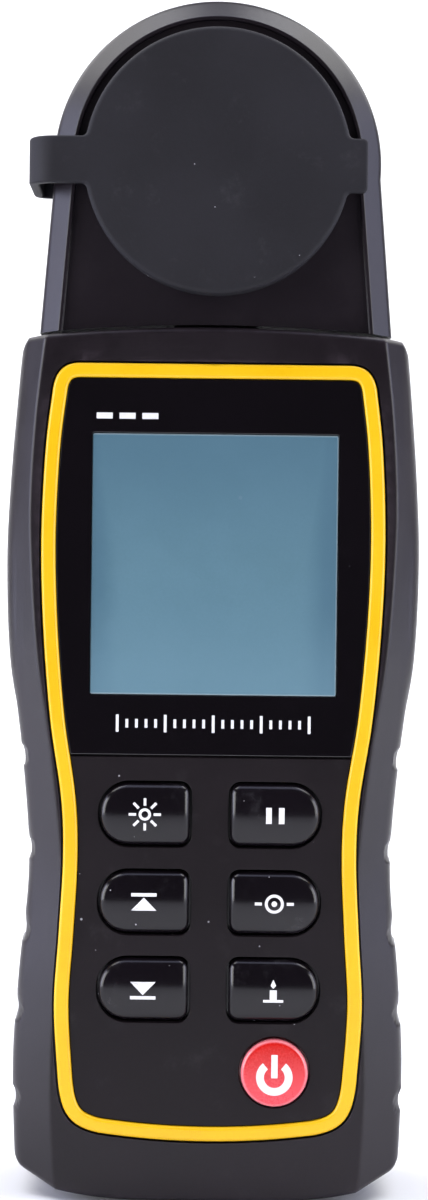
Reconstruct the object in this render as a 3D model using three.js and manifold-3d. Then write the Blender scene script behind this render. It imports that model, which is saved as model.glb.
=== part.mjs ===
// Handheld light meter: a two-shell case with a display and seven keys, a sensor head that turns on
// top of it, and a rubber cap on a strap over the sensor.
// Millimetres. X is to the right, Y to the back, Z up. The case stands on its bottom end at Z = 0,
// and the head turns about the Z axis.
import * as THREE from 'three';
import { mergeVertices } from 'three/addons/utils/BufferGeometryUtils.js';
import Module from 'manifold-3d';

const wasm = await Module();
wasm.setup();

// ---------------------------------------------------------------- driving dimensions
const GAP = 0.3;                 // clearance between neighbouring pieces

const FRONT = -14;               // case front face
const BACK = 16;                 // case back face
const PARTING = 1;               // plane where front and rear shells meet
const WALL = 2;                  // shell wall
const DOME_RADIUS = 250;         // the case top and the head's underside are parts of spheres
const CASE_TOP = 130.7;          // apex of the case top
const SEAM = 0.45;               // gap under the head
// half-width of the case along its height: [height, half-width]
const SIDE_PROFILE = [
  [-2, 28.6], [8, 29.45], [20, 29.75], [34, 29.0], [50, 27.65], [66, 28.85],
  [82, 30.85], [100, 31.5], [114, 30.9], [127, 29.4], [134, 28.4],
];
const CASE_STATIONS = 16;        // cross-sections along the case
const NOTCH_HEIGHTS = [14.5, 27.5, 39.5, 52, 66];   // finger notches on each side
const NOTCH_RADIUS = 1.6;

const BAND_TOP = 124.7;          // coloured trim band around the display and keypad
const BAND_BOTTOM = 9.15;
const BAND_WIDTH = 1.9;
const POCKET_FLOOR = FRONT + 1.3;      // floor of the pocket that holds the band and both plates
const PLATE_BACK = POCKET_FLOOR - GAP; // back of the band, window and fascia
const WINDOW_BOTTOM = 66.5;

const LCD = { x: 0.2, z: 95, width: 41, height: 44, front: -12.6, thickness: 2 };
const BOARD_FRONT = -7.6;
const BOARD_THICKNESS = 1.6;

const KEY_X = 9.7;               // centre of each key column
const KEY_SIZE = { width: 13.3, height: 9.3, outerRadius: 4.3, innerRadius: 1.5 };
const KEY_ROWS = [57.7, 44.6, 31.6];
const KEY_NAMES = [['key_light', 'key_hold'], ['key_max', 'key_lux'], ['key_min', 'key_fc']];
const KEY_FRONT = -15;           // crown of a key at rest
const KEY_FLANGE_FRONT = -11.2;
const KEY_BACK = -10.6;
const POWER_KEY = { x: 10, z: 19.4, radius: 5 };

const CELL = { radius: 5.2, length: 44.4, pitch: 11.1, y: 6.4, z: 45 };   // three AAA cells
const DOOR = { halfWidth: 19.5, bottom: 18.9, top: 72, thickness: 2 };
const CASE_SCREWS = [[-22.5, 122.4], [22.5, 122.4], [-19.5, 13], [19.5, 13]];
const BOARD_SCREWS = [[-18, 67.3], [18, 67.3], [-18, 20.5], [19.5, 22.5]];

const HEAD = { radius: 24.7, centre: 155.3, flare: 4.6, front: -12.6, back: 13, bevel: 3 };
const HEAD_RECESS = 0.6;         // the head's face lies this far behind its bevelled rim
const HEAD_BOTTOM = CASE_TOP + SEAM;
const HEAD_SCREWS = [[-19.6, 138.5], [19.6, 138.5], [0, 174.2]];
const TUBE_RADIUS = 6.4;         // hollow pivot that the head turns on

const SENSOR_Z = 155;            // centre of the diffuser and of the cap
const CAP = { radius: 19.9, front: -16, wall: 1.2, skirt: 1.5 };
const STRAP = { width: 6.6, thickness: 1.5, front: CAP.front, bend: -24.6, side: -28.2, z: 154.9 };
const TAB = { width: 8, end: 22.3, z: 153.9 };
const CAP_HINGE = { x: -27, y: -13 };

// ---------------------------------------------------------------- materials
const finish = (color, roughness, metalness = 0) =>
  new THREE.MeshStandardMaterial({ color, roughness, metalness });
const MATERIAL = {
  case: finish(0x3a3540, 0.55), band: finish(0xfbd21e, 0.4), window: finish(0x14101a, 0.08),
  lcd: finish(0x6a90a3, 0.25), guide: finish(0xe8eef2, 0.3), key: finish(0x221c26, 0.25),
  power: finish(0xe8323a, 0.35), rubber: finish(0x35333a, 0.85), board: finish(0x1f6b3a, 0.5),
  chip: finish(0x17171a, 0.45), silicone: finish(0x8d9096, 0.7), cell: finish(0xb98a3c, 0.35, 0.6),
  steel: finish(0xb9bcc2, 0.3, 1), nickel: finish(0xcfcabb, 0.3, 1), opal: finish(0xf2f2ee, 0.45),
  filter: finish(0x7fa98a, 0.1), plastic: finish(0x2b2930, 0.6), lead: finish(0xc8c8c8, 0.6),
};

// ---------------------------------------------------------------- solid helpers
// Joins a closed geometry's shared corners, drops its zero-area faces and points its faces outward.
function closed(geometry) {
  const bare = geometry.clone();
  bare.deleteAttribute('normal');
  bare.deleteAttribute('uv');
  const merged = mergeVertices(bare, 1e-4);
  const corner = (i) => new THREE.Vector3().fromBufferAttribute(merged.attributes.position, i);
  const faces = [];
  let volume = 0;
  for (let i = 0; i < merged.index.count; i += 3) {
    const [a, b, c] = [0, 1, 2].map((k) => merged.index.getX(i + k));
    if (a === b || b === c || c === a) continue;
    volume += corner(a).dot(corner(b).cross(corner(c)));
    faces.push(a, b, c);
  }
  merged.setIndex(volume < 0 ? faces.reverse() : faces);
  return merged;
}

function solid(geometry) {
  const { attributes, index } = closed(geometry);
  return new wasm.Manifold(new wasm.Mesh({
    numProp: 3,
    vertProperties: new Float32Array(attributes.position.array),
    triVerts: new Uint32Array(index.array),
  }));
}

function geometryOf(manifold) {
  const { vertProperties, triVerts } = manifold.getMesh();
  const geometry = new THREE.BufferGeometry();
  geometry.setAttribute('position', new THREE.BufferAttribute(vertProperties, 3));
  geometry.setIndex(new THREE.BufferAttribute(triVerts, 1));
  geometry.computeVertexNormals();
  return geometry;
}

const join = (first, ...rest) => rest.reduce((sum, next) => sum.add(next), first);
const cut = (first, ...rest) => rest.reduce((left, next) => left.subtract(next), first);

function block([x0, x1], [y0, y1], [z0, z1]) {
  const box = new THREE.BoxGeometry(x1 - x0, y1 - y0, z1 - z0);
  return solid(box.translate((x0 + x1) / 2, (y0 + y1) / 2, (z0 + z1) / 2));
}

// A flat outline drawn in X and Z, extruded from its front plane to its back plane.
function plate(outline, front, back, bevel = {}) {
  const shape = outline instanceof THREE.Shape ? outline : new THREE.Shape(outline);
  const rim = bevel.thickness ?? 0;
  const geometry = new THREE.ExtrudeGeometry(shape, {
    depth: back - front - rim * (bevel.both ? 2 : 1),
    curveSegments: bevel.curveSegments ?? 6,
    bevelEnabled: rim > 0,
    bevelThickness: rim,
    bevelSize: bevel.size ?? 0,
    bevelOffset: -(bevel.size ?? 0),
    bevelSegments: bevel.segments ?? 1,
  });
  return solid(geometry.rotateX(Math.PI / 2).translate(0, back - (bevel.both ? rim : 0), 0));
}

// A closed profile of [radius, distance] turned about an axis that points along 'y' or 'z'.
function turned(profile, axis, x = 0, y = 0, z = 0, segments = 24) {
  const points = [...profile, profile[0]].map(([r, h]) => new THREE.Vector2(r, h));
  const geometry = new THREE.LatheGeometry(points, segments);
  if (axis === 'z') geometry.rotateX(Math.PI / 2);
  return solid(geometry.translate(x, y, z));
}

const disc = (radius, from, to) => [[0, from], [radius, from], [radius, to], [0, to]];
const ring = (inner, outer, from, to) => [[inner, from], [outer, from], [outer, to], [inner, to]];

// Moves each point of a closed outline inward by a distance, along its corner's bisector.
function inset(points, distance) {
  const signed = THREE.ShapeUtils.isClockWise(points) ? -distance : distance;
  return points.map((point, i) => {
    const before = points.at(i - 1);
    const after = points[(i + 1) % points.length];
    const into = point.clone().sub(before).normalize();
    const out = after.clone().sub(point).normalize();
    const bisector = into.clone().add(out).normalize();
    const stretch = 1 / Math.max(0.5, Math.abs(into.dot(bisector)));
    return new THREE.Vector2(-bisector.y, bisector.x).multiplyScalar(signed * stretch).add(point);
  });
}

// ---------------------------------------------------------------- case form
const sidePoints = new THREE.SplineCurve(SIDE_PROFILE.map(([z, w]) => new THREE.Vector2(z, w)))
  .getPoints(CASE_STATIONS);

function halfWidth(z) {
  const i = Math.max(1, sidePoints.findIndex((point) => point.x >= z));
  const [a, b] = [sidePoints[i - 1], sidePoints[i]];
  return THREE.MathUtils.mapLinear(z, a.x, b.x, a.y, b.y);
}

// The side bevel is 4 mm wide beside the display and widens towards the bottom end.
const bevelWidth = (z) => 4.1 + 2.8 * Math.max(0, (100 - z) / 100);

// One cross-section of the case: right half from the front bevel to the rounded back edge, mirrored.
function caseSection(z, w, shrink) {
  const front = FRONT + shrink;
  const back = BACK - shrink;
  const edge = w - shrink;
  const bevel = bevelWidth(z) - 0.5 * shrink;
  const right = [
    [edge - bevel, front], [edge - 0.35, front + 5.4 - 0.5 * shrink], [edge, PARTING],
    [edge - 0.5, back - 6.5], [edge - 2.4, back - 2.4], [edge - 6.8, back],
  ];
  const left = right.map(([x, y]) => [-x, y]).reverse();
  return [...right, ...left].map(([x, y]) => new THREE.Vector3(x, y, z));
}

// Skins a closed body over cross-sections that all have the same number of corners.
function loft(sections) {
  const count = sections[0].length;
  const faces = [];
  for (let s = 0; s < sections.length - 1; s += 1) {
    for (let i = 0; i < count; i += 1) {
      const [a, b] = [s * count + i, s * count + ((i + 1) % count)];
      faces.push(a, b, b + count, a, b + count, a + count);
    }
  }
  const last = (sections.length - 1) * count;
  for (let i = 1; i < count - 1; i += 1) faces.push(0, i + 1, i, last, last + i, last + i + 1);
  const geometry = new THREE.BufferGeometry().setFromPoints(sections.flat());
  geometry.setIndex(faces);
  return solid(geometry);
}

// Front view of the case ends: a flat foot, a gently arched bottom edge and rounded corners.
function endOutline(shrink) {
  const wide = 40;
  const shape = new THREE.Shape();
  const foot = 13;
  shape.moveTo(0, shrink);
  shape.lineTo(foot, shrink);
  shape.quadraticCurveTo(19, shrink + 1, 24.4 - shrink / 2, 2.6 + shrink);
  shape.quadraticCurveTo(29.2 - shrink, 4.4 + shrink, 29.6 - shrink, 9);
  shape.lineTo(wide, 9);
  shape.lineTo(wide, 125.6);
  shape.lineTo(29.8 - shrink, 125.6);
  shape.quadraticCurveTo(29 - shrink, 129.2, 26.4 - shrink, 129.6);
  shape.lineTo(22, 140);
  shape.lineTo(0, 140);
  const right = shape.getPoints(5);
  const left = right.map((p) => new THREE.Vector2(-p.x, p.y)).reverse();
  return [...right, ...left.slice(1, -1)];
}

// Everything below (or above) the spherical seam surface whose apex is at the given height.
function seamSide(apex, above) {
  const reach = 60;
  const rings = [60, 36, 24, 12, 0];
  const surface = rings.map((r) => [r, apex - (r * r) / (2 * DOME_RADIUS)]);
  const far = above ? apex + 80 : apex - 160;
  return turned([...surface, [0, far], [reach, far]], 'z', 0, 0, 0, 32);
}

function caseForm(shrink) {
  const sections = sidePoints.map((point) => caseSection(point.x, point.y, shrink));
  return loft(sections)
    .intersect(plate(endOutline(shrink), -20, 20))
    .intersect(seamSide(CASE_TOP - shrink, false));
}

// Each notch is a short round groove pressed into the side wall.
function notches() {
  const cutters = NOTCH_HEIGHTS.flatMap((z) => [-1, 1].map((side) => {
    const bar = new THREE.CapsuleGeometry(NOTCH_RADIUS, 12, 2, 8);
    return solid(bar.translate(side * (halfWidth(z) + 0.75), PARTING, z));
  }));
  return join(...cutters);
}

// ---------------------------------------------------------------- trim band outline
function bandOutline() {
  const path = new THREE.Path();
  path.moveTo(0, BAND_TOP);
  path.lineTo(20, BAND_TOP);
  path.bezierCurveTo(22.6, BAND_TOP, 23.8, 123.2, 24.1, 120);
  const side = [[25, 112], [25.5, 99], [25.1, 86], [23.9, 72], [22.1, 60], [21.7, 51], [22.2, 40],
    [22.8, 29], [22, 18]];
  path.splineThru(side.map(([x, z]) => new THREE.Vector2(x, z)));
  path.bezierCurveTo(21.5, 13, 20, 11.2, 16, 10.25);
  path.quadraticCurveTo(8, BAND_BOTTOM, 0, BAND_BOTTOM);
  const right = path.getPoints(2);
  const left = right.map((p) => new THREE.Vector2(-p.x, p.y)).reverse();
  return [...right, ...left.slice(1, -1)];
}
const band = bandOutline();

// ---------------------------------------------------------------- key outlines
// A key is a rectangle with small corners towards the middle and large ones towards the outside.
function keyOutline(side, x, z, grow = 0) {
  const w = KEY_SIZE.width / 2 + grow;
  const h = KEY_SIZE.height / 2 + grow;
  const big = KEY_SIZE.outerRadius + grow;
  const small = KEY_SIZE.innerRadius + grow;
  const shape = new THREE.Shape();
  shape.moveTo(-w + small, -h);
  shape.lineTo(w - big, -h);
  shape.absarc(w - big, -h + big, big, -Math.PI / 2, 0);
  shape.absarc(w - big, h - big, big, 0, Math.PI / 2);
  shape.absarc(-w + small, h - small, small, Math.PI / 2, Math.PI);
  shape.absarc(-w + small, -h + small, small, Math.PI, 1.5 * Math.PI);
  const points = shape.getPoints(3);
  return points.map((p) => new THREE.Vector2(x + side * p.x, z + p.y));
}

const keys = KEY_NAMES.flatMap((pair, row) => pair.map((name, column) => {
  const side = column === 0 ? -1 : 1;
  return { name, side, x: side * KEY_X, z: KEY_ROWS[row] };
}));

function keyHoles(front, back) {
  const holes = keys.map(({ side, x, z }) => plate(keyOutline(side, x, z, GAP), front, back));
  const round = disc(POWER_KEY.radius + GAP, front, back);
  return join(turned(round, 'y', POWER_KEY.x, 0, POWER_KEY.z), ...holes);
}

// ---------------------------------------------------------------- case pieces
const post = (radius, front, back, [x, z]) =>
  turned(disc(radius, front, back), 'y', x, 0, z, 12);

const frontHalf = block([-50, 50], [-30, PARTING - GAP / 2], [-10, 150]);
const rearHalf = block([-50, 50], [PARTING + GAP / 2, 30], [-10, 150]);
const pivotHole = turned(disc(TUBE_RADIUS + GAP, 120, 140), 'z');

const lcdAperture = block(
  [LCD.x - LCD.width / 2 - GAP, LCD.x + LCD.width / 2 + GAP], [-20, -8],
  [LCD.z - LCD.height / 2 - GAP, LCD.z + LCD.height / 2 + GAP],
);

const caseShell = cut(caseForm(0), caseForm(WALL), pivotHole, notches());

function frontShell() {
  const lining = plate(inset(band, -1.2), POCKET_FLOOR - 0.2, POCKET_FLOOR + 1.2);
  const casePosts = CASE_SCREWS.map((at) => post(3.2, FRONT + 1.6, PARTING - GAP / 2, at));
  const boardPosts = BOARD_SCREWS.map((at) => post(2.2, FRONT + 1.6, BOARD_FRONT - GAP, at));
  const bores = [
    ...CASE_SCREWS.map((at) => post(1.65, -9, 5, at)),
    ...BOARD_SCREWS.map((at) => post(1.1, -10.8, 0, at)),
  ];
  const whole = join(caseShell.intersect(frontHalf), lining, ...casePosts, ...boardPosts);
  return cut(whole, plate(inset(band, -0.15), -20, POCKET_FLOOR), lcdAperture,
    keyHoles(-20, -9), ...bores);
}

function rearShell() {
  const tubes = CASE_SCREWS.map((at) => post(3.4, PARTING + GAP / 2, BACK - 1, at));
  const wells = CASE_SCREWS.map((at) => post(2.9, BACK - 3.4, BACK + 2, at));
  const bores = CASE_SCREWS.map((at) => post(1.65, -2, BACK, at));
  const { halfWidth: w, bottom, top } = DOOR;
  const doorway = block([-w - GAP, w + GAP], [BACK - 5, BACK + 5], [bottom - GAP, top + GAP]);
  const ledge = cut(
    block([-w - 2.2, w + 2.2], [BACK - 4.2, BACK - DOOR.thickness - GAP], [bottom - 2.2, top + 2.6]),
    block([-w + 0.8, w - 0.8], [0, 30], [bottom + 0.8, top - 0.8]),
  );
  const shell = cut(caseShell.intersect(rearHalf), doorway);
  return cut(join(shell, ledge, ...tubes), ...wells, ...bores);
}

function trimBand() {
  const outer = plate(band, FRONT - 0.3, PLATE_BACK, { thickness: 0.25, size: 0.25 });
  return cut(outer, plate(inset(band, BAND_WIDTH), -20, 0));
}

function insideBand(front, [z0, z1]) {
  const within = plate(inset(band, BAND_WIDTH + 0.15), front, PLATE_BACK);
  return within.intersect(block([-40, 40], [-20, 0], [z0, z1]));
}

function keyCap({ side, x, z }) {
  const crown = { thickness: 0.6, size: 0.7 };
  return join(
    plate(keyOutline(side, x, z), KEY_FRONT, KEY_FLANGE_FRONT, crown),
    plate(keyOutline(side, x, z, 0.9), KEY_FLANGE_FRONT, KEY_BACK),
  );
}

function powerKey() {
  const { x, z, radius: r } = POWER_KEY;
  return turned([
    [0, KEY_FRONT - 0.15], [r * 0.55, KEY_FRONT], [r * 0.86, KEY_FRONT + 0.35],
    [r, KEY_FRONT + 0.95], [r, KEY_FLANGE_FRONT], [r + 0.9, KEY_FLANGE_FRONT],
    [r + 0.9, KEY_BACK], [0, KEY_BACK],
  ], 'y', x, 0, z);
}

// ---------------------------------------------------------------- display and electronics
function lcdParts() {
  const { x, z, width, height, front, thickness } = LCD;
  const span = (half) => [x - half, x + half];
  const back = front + thickness;
  const frameBack = BOARD_FRONT - GAP;
  const inner = block(span(width / 2 + GAP), [-20, 0], [z - height / 2 - GAP, z + height / 2 + GAP]);
  const outer = block(span(width / 2 + 1.2), [FRONT + 3, frameBack],
    [z - height / 2 - 1.2, z + height / 2 + 1.2]);
  return {
    lcd_panel: block(span(width / 2), [front, back], [z - height / 2, z + height / 2]),
    lcd_frame: cut(outer, inner),
    backlight_guide: block(span(width / 2 - 0.5), [back + GAP, back + 2], [z - 17, z + 21]),
    zebra_connector: block(span(18), [back + GAP, frameBack], [z - 21, z - 18.6]),
  };
}

function mainBoard() {
  const back = BOARD_FRONT + BOARD_THICKNESS;
  const holes = BOARD_SCREWS.map((at) => post(1.3, -10, 0, at));
  return cut(block([-21.4, 21.4], [BOARD_FRONT, back], [17, 118.2]), ...holes);
}

// A silicone mat with a raised pad under every key.
function keypadMembrane() {
  const sheet = block([-16, 16], [-9.2, -8.6], [16.6, 64]);
  const pads = keys.map(({ x, z }) => block([x - 4, x + 4], [-9.5, -8.9], [z - 2.4, z + 2.4]));
  const powerPad = post(2.6, -9.5, -8.9, [POWER_KEY.x, POWER_KEY.z]);
  const holes = BOARD_SCREWS.map((at) => post(2.6, -12, 0, at));
  return cut(join(sheet, powerPad, ...pads), ...holes);
}

// A plastic sheet with a metal snap dome under every pad.
function domeSheet() {
  const sheet = block([-15.5, 15.5], [-8.05, -7.85], [16.2, 63]);
  const spots = [...keys, POWER_KEY];
  const domes = spots.map(({ x, z }) => turned([[0, -8.35], [2.2, -8.2], [3.2, -7.9], [0, -7.9]],
    'y', x, 0, z, 12));
  const holes = BOARD_SCREWS.map((at) => post(2.6, -12, 0, at));
  return cut(join(sheet, ...domes), ...holes);
}

function screw(headRadius, headFront, headBack, shaftRadius, tip, at) {
  const driver = turned(disc(headRadius * 0.45, headBack - 0.7, headBack + 1), 'y', at[0], 0, at[1], 4);
  return cut(join(post(headRadius, headFront, headBack, at),
    post(shaftRadius, tip, headFront, at)), driver);
}

// ---------------------------------------------------------------- battery parts
const cellXs = [-CELL.pitch, 0, CELL.pitch];
const cellEnds = [CELL.z - CELL.length / 2, CELL.z + CELL.length / 2];

function batteryTray() {
  const half = 17.6;
  const [low, high] = [17.6, 71.6];
  const top = BACK - 5;
  return cut(
    block([-half, half], [-1.2, top], [low, high]),
    block([-half + 1.1, half - 1.1], [0, 30], [low + 1.1, high - 1.1]),
  );
}

// Positive cap up on the outer cells and down on the middle one.
function cell(x, column) {
  const up = column !== 1;
  const body = disc(CELL.radius, cellEnds[0] + (up ? 0 : 0.9), cellEnds[1] - (up ? 0.9 : 0));
  const tip = up ? disc(1.9, cellEnds[1] - 1, cellEnds[1]) : disc(1.9, cellEnds[0], cellEnds[0] + 1);
  return join(turned(body, 'z', x, CELL.y, 0, 20), turned(tip, 'z', x, CELL.y, 0, 12));
}

// The conical contact spring at each cell's negative end, as the solid that it fills.
function cellSpring(x, column) {
  const up = column !== 1;
  const [wide, narrow] = up ? [19.9, cellEnds[0] - GAP] : [69.2, cellEnds[1] + GAP];
  return turned([[0, wide], [3.6, wide], [2.2, narrow], [0, narrow]], 'z', x, CELL.y, 0, 12);
}

// ---------------------------------------------------------------- head form
// An arch with straight flared sides that run on below the seam, to be cut there.
function archOutline(shrink) {
  const { radius, centre, flare } = HEAD;
  const angle = THREE.MathUtils.degToRad(flare);
  const r = radius - shrink;
  const foot = 120;
  const tangent = new THREE.Vector2(r * Math.cos(angle), centre - r * Math.sin(angle));
  const footX = tangent.x + (tangent.y - foot) * Math.tan(angle);
  const shape = new THREE.Shape();
  shape.moveTo(-footX, foot);
  shape.lineTo(footX, foot);
  shape.absarc(0, centre, r, -angle, Math.PI + angle);
  const points = shape.getPoints(30);
  return new THREE.Shape(points.filter((p, i) => i === 0 || p.distanceTo(points[i - 1]) > 1e-6));
}

function headForm(shrink) {
  const bevel = HEAD.bevel - shrink * 0.5;
  const front = HEAD.front + (shrink > 0 ? shrink + HEAD_RECESS : 0);
  const rim = { thickness: bevel, size: bevel, both: true };
  return plate(archOutline(shrink), front, HEAD.back - shrink, rim)
    .intersect(seamSide(HEAD_BOTTOM + shrink, true));
}

const headFrontHalf = block([-50, 50], [-30, PARTING - GAP / 2], [100, 200]);
const headRearHalf = block([-50, 50], [PARTING + GAP / 2, 30], [100, 200]);
const face = HEAD.front + HEAD_RECESS;

// The strap's root passes into the head through a slot on the parting line.
const strapSlot = block([-30, -19], [PARTING - 1.2, PARTING + 1.2],
  [STRAP.z - STRAP.width / 2 - GAP, STRAP.z + STRAP.width / 2 + GAP]);

const headShell = cut(headForm(0), headForm(WALL), pivotHole, strapSlot);

function headFrontShell() {
  const posts = HEAD_SCREWS.map((at) => post(2.8, face + 1, PARTING - GAP / 2, at));
  const bores = HEAD_SCREWS.map((at) => post(1.4, -8, 5, at));
  return cut(join(headShell.intersect(headFrontHalf), ...posts),
    plate(archOutline(HEAD.bevel + 0.5), -20, face),
    turned(disc(14, -20, 0), 'y', 0, 0, SENSOR_Z), ...bores);
}

function headRearShell() {
  const tubes = HEAD_SCREWS.map((at) => post(3, PARTING + GAP / 2, HEAD.back - 1, at));
  const wells = HEAD_SCREWS.map((at) => post(2.5, HEAD.back - 2.8, HEAD.back + 2, at));
  const bores = HEAD_SCREWS.map((at) => post(1.4, -2, HEAD.back, at));
  return cut(join(headShell.intersect(headRearHalf), ...tubes), ...wells, ...bores);
}

// Hollow pivot: a flange above the head's floor, and a groove below the case top for the clip.
function swivelTube() {
  const floor = HEAD_BOTTOM + WALL + GAP;
  const groove = TUBE_RADIUS - 0.8;
  return turned([
    [4, 124.6], [TUBE_RADIUS, 124.6], [TUBE_RADIUS, 125.8], [groove, 125.8], [groove, 127.4],
    [TUBE_RADIUS, 127.4], [TUBE_RADIUS, floor], [9, floor], [9, floor + 1.2], [4, floor + 1.2],
  ], 'z');
}

function swivelClip() {
  const slot = block([-1.2, 1.2], [0, 20], [120, 130]);
  return cut(turned(ring(TUBE_RADIUS - 0.5, 9.4, 126.1, 127.1), 'z'), slot);
}

// ---------------------------------------------------------------- sensor parts, on the Y axis
const onSensor = (profile, segments = 28) => turned(profile, 'y', 0, 0, SENSOR_Z, segments);

function diffuser() {
  const dome = [[0, -14.3], [5, -14.15], [9.6, -13.6], [12.6, -12.7], [13.6, -11.9]];
  return onSensor([...dome, [13.6, -9.7], [16.2, -9.7], [16.2, -8.6], [0, -8.6]]);
}

function sensorLead() {
  const route = new THREE.CatmullRomCurve3([
    [0, -1.7, 152], [0, -1.4, 147], [0, 0, 140], [0, 0, 130], [0, 0, 121],
  ].map((p) => new THREE.Vector3(...p)));
  const section = new THREE.Shape().absarc(0, 0, 1.3, 0, 2 * Math.PI);
  const options = { extrudePath: route, steps: 12, bevelEnabled: false, curveSegments: 4 };
  return solid(new THREE.ExtrudeGeometry(section, options));
}

// ---------------------------------------------------------------- cap and strap
// One moulding: the cap, its pull tab, and the strap as far as the bend beside the head.
function sensorCap() {
  const { radius, front, wall, skirt } = CAP;
  const back = face - GAP;
  const cup = onSensor([
    [0, front], [radius - 1.2, front], [radius - 0.3, front + 0.4], [radius, front + 1.2],
    [radius, back], [radius - skirt, back], [radius - skirt, front + wall], [0, front + wall],
  ], 36);
  const hollow = onSensor(disc(radius - 0.4, front + 0.5, back + 5), 36);
  const strapBack = STRAP.front + STRAP.thickness;
  const strap = cut(block([STRAP.bend, -15], [STRAP.front, strapBack],
    [STRAP.z - STRAP.width / 2, STRAP.z + STRAP.width / 2]), hollow);
  const tab = cut(block([15, TAB.end], [STRAP.front, strapBack],
    [TAB.z - TAB.width / 2, TAB.z + TAB.width / 2]), hollow);
  return join(cup, strap, tab);
}

// The rest of the strap: along the head's side, then into the slot, with a bar that holds it.
function capStrap() {
  const { side, thickness, width, z } = STRAP;
  const rootHalf = 0.75;
  const profile = new THREE.Shape([
    [side, -11.4], [side + thickness, -11.4], [side + thickness, PARTING - rootHalf],
    [-21.4, PARTING - rootHalf], [-21.4, PARTING - 2.4], [-20.2, PARTING - 2.4],
    [-20.2, PARTING + 2.4], [-21.4, PARTING + 2.4], [-21.4, PARTING + rootHalf],
    [side + 0.7, PARTING + rootHalf], [side, PARTING - 0.1],
  ].map(([x, y]) => new THREE.Vector2(x, y)));
  const band3d = new THREE.ExtrudeGeometry(profile, { depth: width, bevelEnabled: false });
  return solid(band3d.translate(0, 0, z - width / 2));
}

// ---------------------------------------------------------------- assembly
const meter = new THREE.Group();
const head = new THREE.Group();      // turns about Z
const cap = new THREE.Group();       // swings about a line parallel to Z beside the head
cap.position.set(CAP_HINGE.x, CAP_HINGE.y, 0);
meter.add(head);
head.add(cap);

function add(group, name, body, material) {
  const geometry = geometryOf(body);
  geometry.translate(-group.position.x, -group.position.y, -group.position.z);
  const mesh = new THREE.Mesh(geometry, material);
  mesh.name = name;
  group.add(mesh);
}

add(meter, 'front_shell', frontShell(), MATERIAL.case);
add(meter, 'rear_shell', rearShell(), MATERIAL.case);
add(meter, 'trim_band', trimBand(), MATERIAL.band);
add(meter, 'display_window', insideBand(FRONT, [WINDOW_BOTTOM, 130]), MATERIAL.window);
add(meter, 'keypad_fascia', cut(insideBand(FRONT + 0.1, [0, WINDOW_BOTTOM - GAP]),
  keyHoles(-20, 0)), MATERIAL.plastic);

const display = lcdParts();
add(meter, 'lcd_panel', display.lcd_panel, MATERIAL.lcd);
add(meter, 'lcd_frame', display.lcd_frame, MATERIAL.plastic);
add(meter, 'backlight_guide', display.backlight_guide, MATERIAL.guide);
add(meter, 'zebra_connector', display.zebra_connector, MATERIAL.silicone);
add(meter, 'main_board', mainBoard(), MATERIAL.board);
add(meter, 'dome_sheet', domeSheet(), MATERIAL.steel);
add(meter, 'keypad_membrane', keypadMembrane(), MATERIAL.silicone);

const boardBack = BOARD_FRONT + BOARD_THICKNESS + GAP;
add(meter, 'processor_chip', block([-8, 4], [boardBack, boardBack + 1.6], [84, 96]), MATERIAL.chip);
add(meter, 'buzzer', turned(disc(6, boardBack, boardBack + 6), 'y', 12, 0, 102, 24), MATERIAL.chip);
add(meter, 'sensor_socket', block([-5, 5], [boardBack, boardBack + 4], [110, 116]), MATERIAL.opal);

for (const key of keys) add(meter, key.name, keyCap(key), MATERIAL.key);
add(meter, 'power_key', powerKey(), MATERIAL.power);

add(meter, 'battery_tray', batteryTray(), MATERIAL.plastic);
cellXs.forEach((x, i) => {
  add(meter, `cell_${i + 1}`, cell(x, i), MATERIAL.cell);
  add(meter, `cell_spring_${i + 1}`, cellSpring(x, i), MATERIAL.nickel);
});
const contactY = [CELL.y - 3.6, CELL.y + 3.6];
add(meter, 'contact_strip_top', block([-4.5, 15.5], contactY, [69.5, 70]), MATERIAL.nickel);
add(meter, 'contact_strip_bottom', block([-15.5, 4.5], contactY, [19.1, 19.6]), MATERIAL.nickel);
add(meter, 'battery_door', block([-DOOR.halfWidth, DOOR.halfWidth],
  [BACK - DOOR.thickness, BACK], [DOOR.bottom, DOOR.top]), MATERIAL.case);

CASE_SCREWS.forEach((at, i) => add(meter, `case_screw_${i + 1}`,
  screw(2.5, BACK - 3.1, BACK - 1.3, 1.3, -7, at), MATERIAL.steel));
BOARD_SCREWS.forEach((at, i) => add(meter, `board_screw_${i + 1}`,
  screw(1.9, boardBack, boardBack + 1.2, 0.9, -10.4, at), MATERIAL.steel));

add(head, 'head_front_shell', headFrontShell(), MATERIAL.case);
add(head, 'head_rear_shell', headRearShell(), MATERIAL.case);
add(head, 'swivel_tube', swivelTube(), MATERIAL.plastic);
add(head, 'swivel_clip', swivelClip(), MATERIAL.steel);
add(meter, 'friction_washer', turned(ring(TUBE_RADIUS + GAP, 9.2, 127.5, 127.9), 'z'),
  MATERIAL.steel);
add(head, 'sensor_bezel', onSensor(ring(14, 17.5, -13.7, face - GAP)), MATERIAL.plastic);
add(head, 'diffuser', diffuser(), MATERIAL.opal);
add(head, 'colour_filter', onSensor(disc(9, -8.3, -7.3), 24), MATERIAL.filter);
add(head, 'photodiode', block([-4, 4], [-7, -5.3], [SENSOR_Z - 4, SENSOR_Z + 4]), MATERIAL.chip);
add(head, 'light_seal', onSensor(ring(11, 13, -8.3, -5.3), 24), MATERIAL.rubber);
add(head, 'sensor_board', onSensor(disc(15, -5, -3.4), 24), MATERIAL.board);
add(head, 'sensor_lead', sensorLead(), MATERIAL.lead);
HEAD_SCREWS.forEach((at, i) => add(head, `head_screw_${i + 1}`,
  screw(2.1, HEAD.back - 2.5, HEAD.back - 1, 1.1, -6.5, at), MATERIAL.steel));
add(head, 'cap_strap', capStrap(), MATERIAL.rubber);
add(cap, 'sensor_cap', sensorCap(), MATERIAL.rubber);

export default meter;
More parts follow.
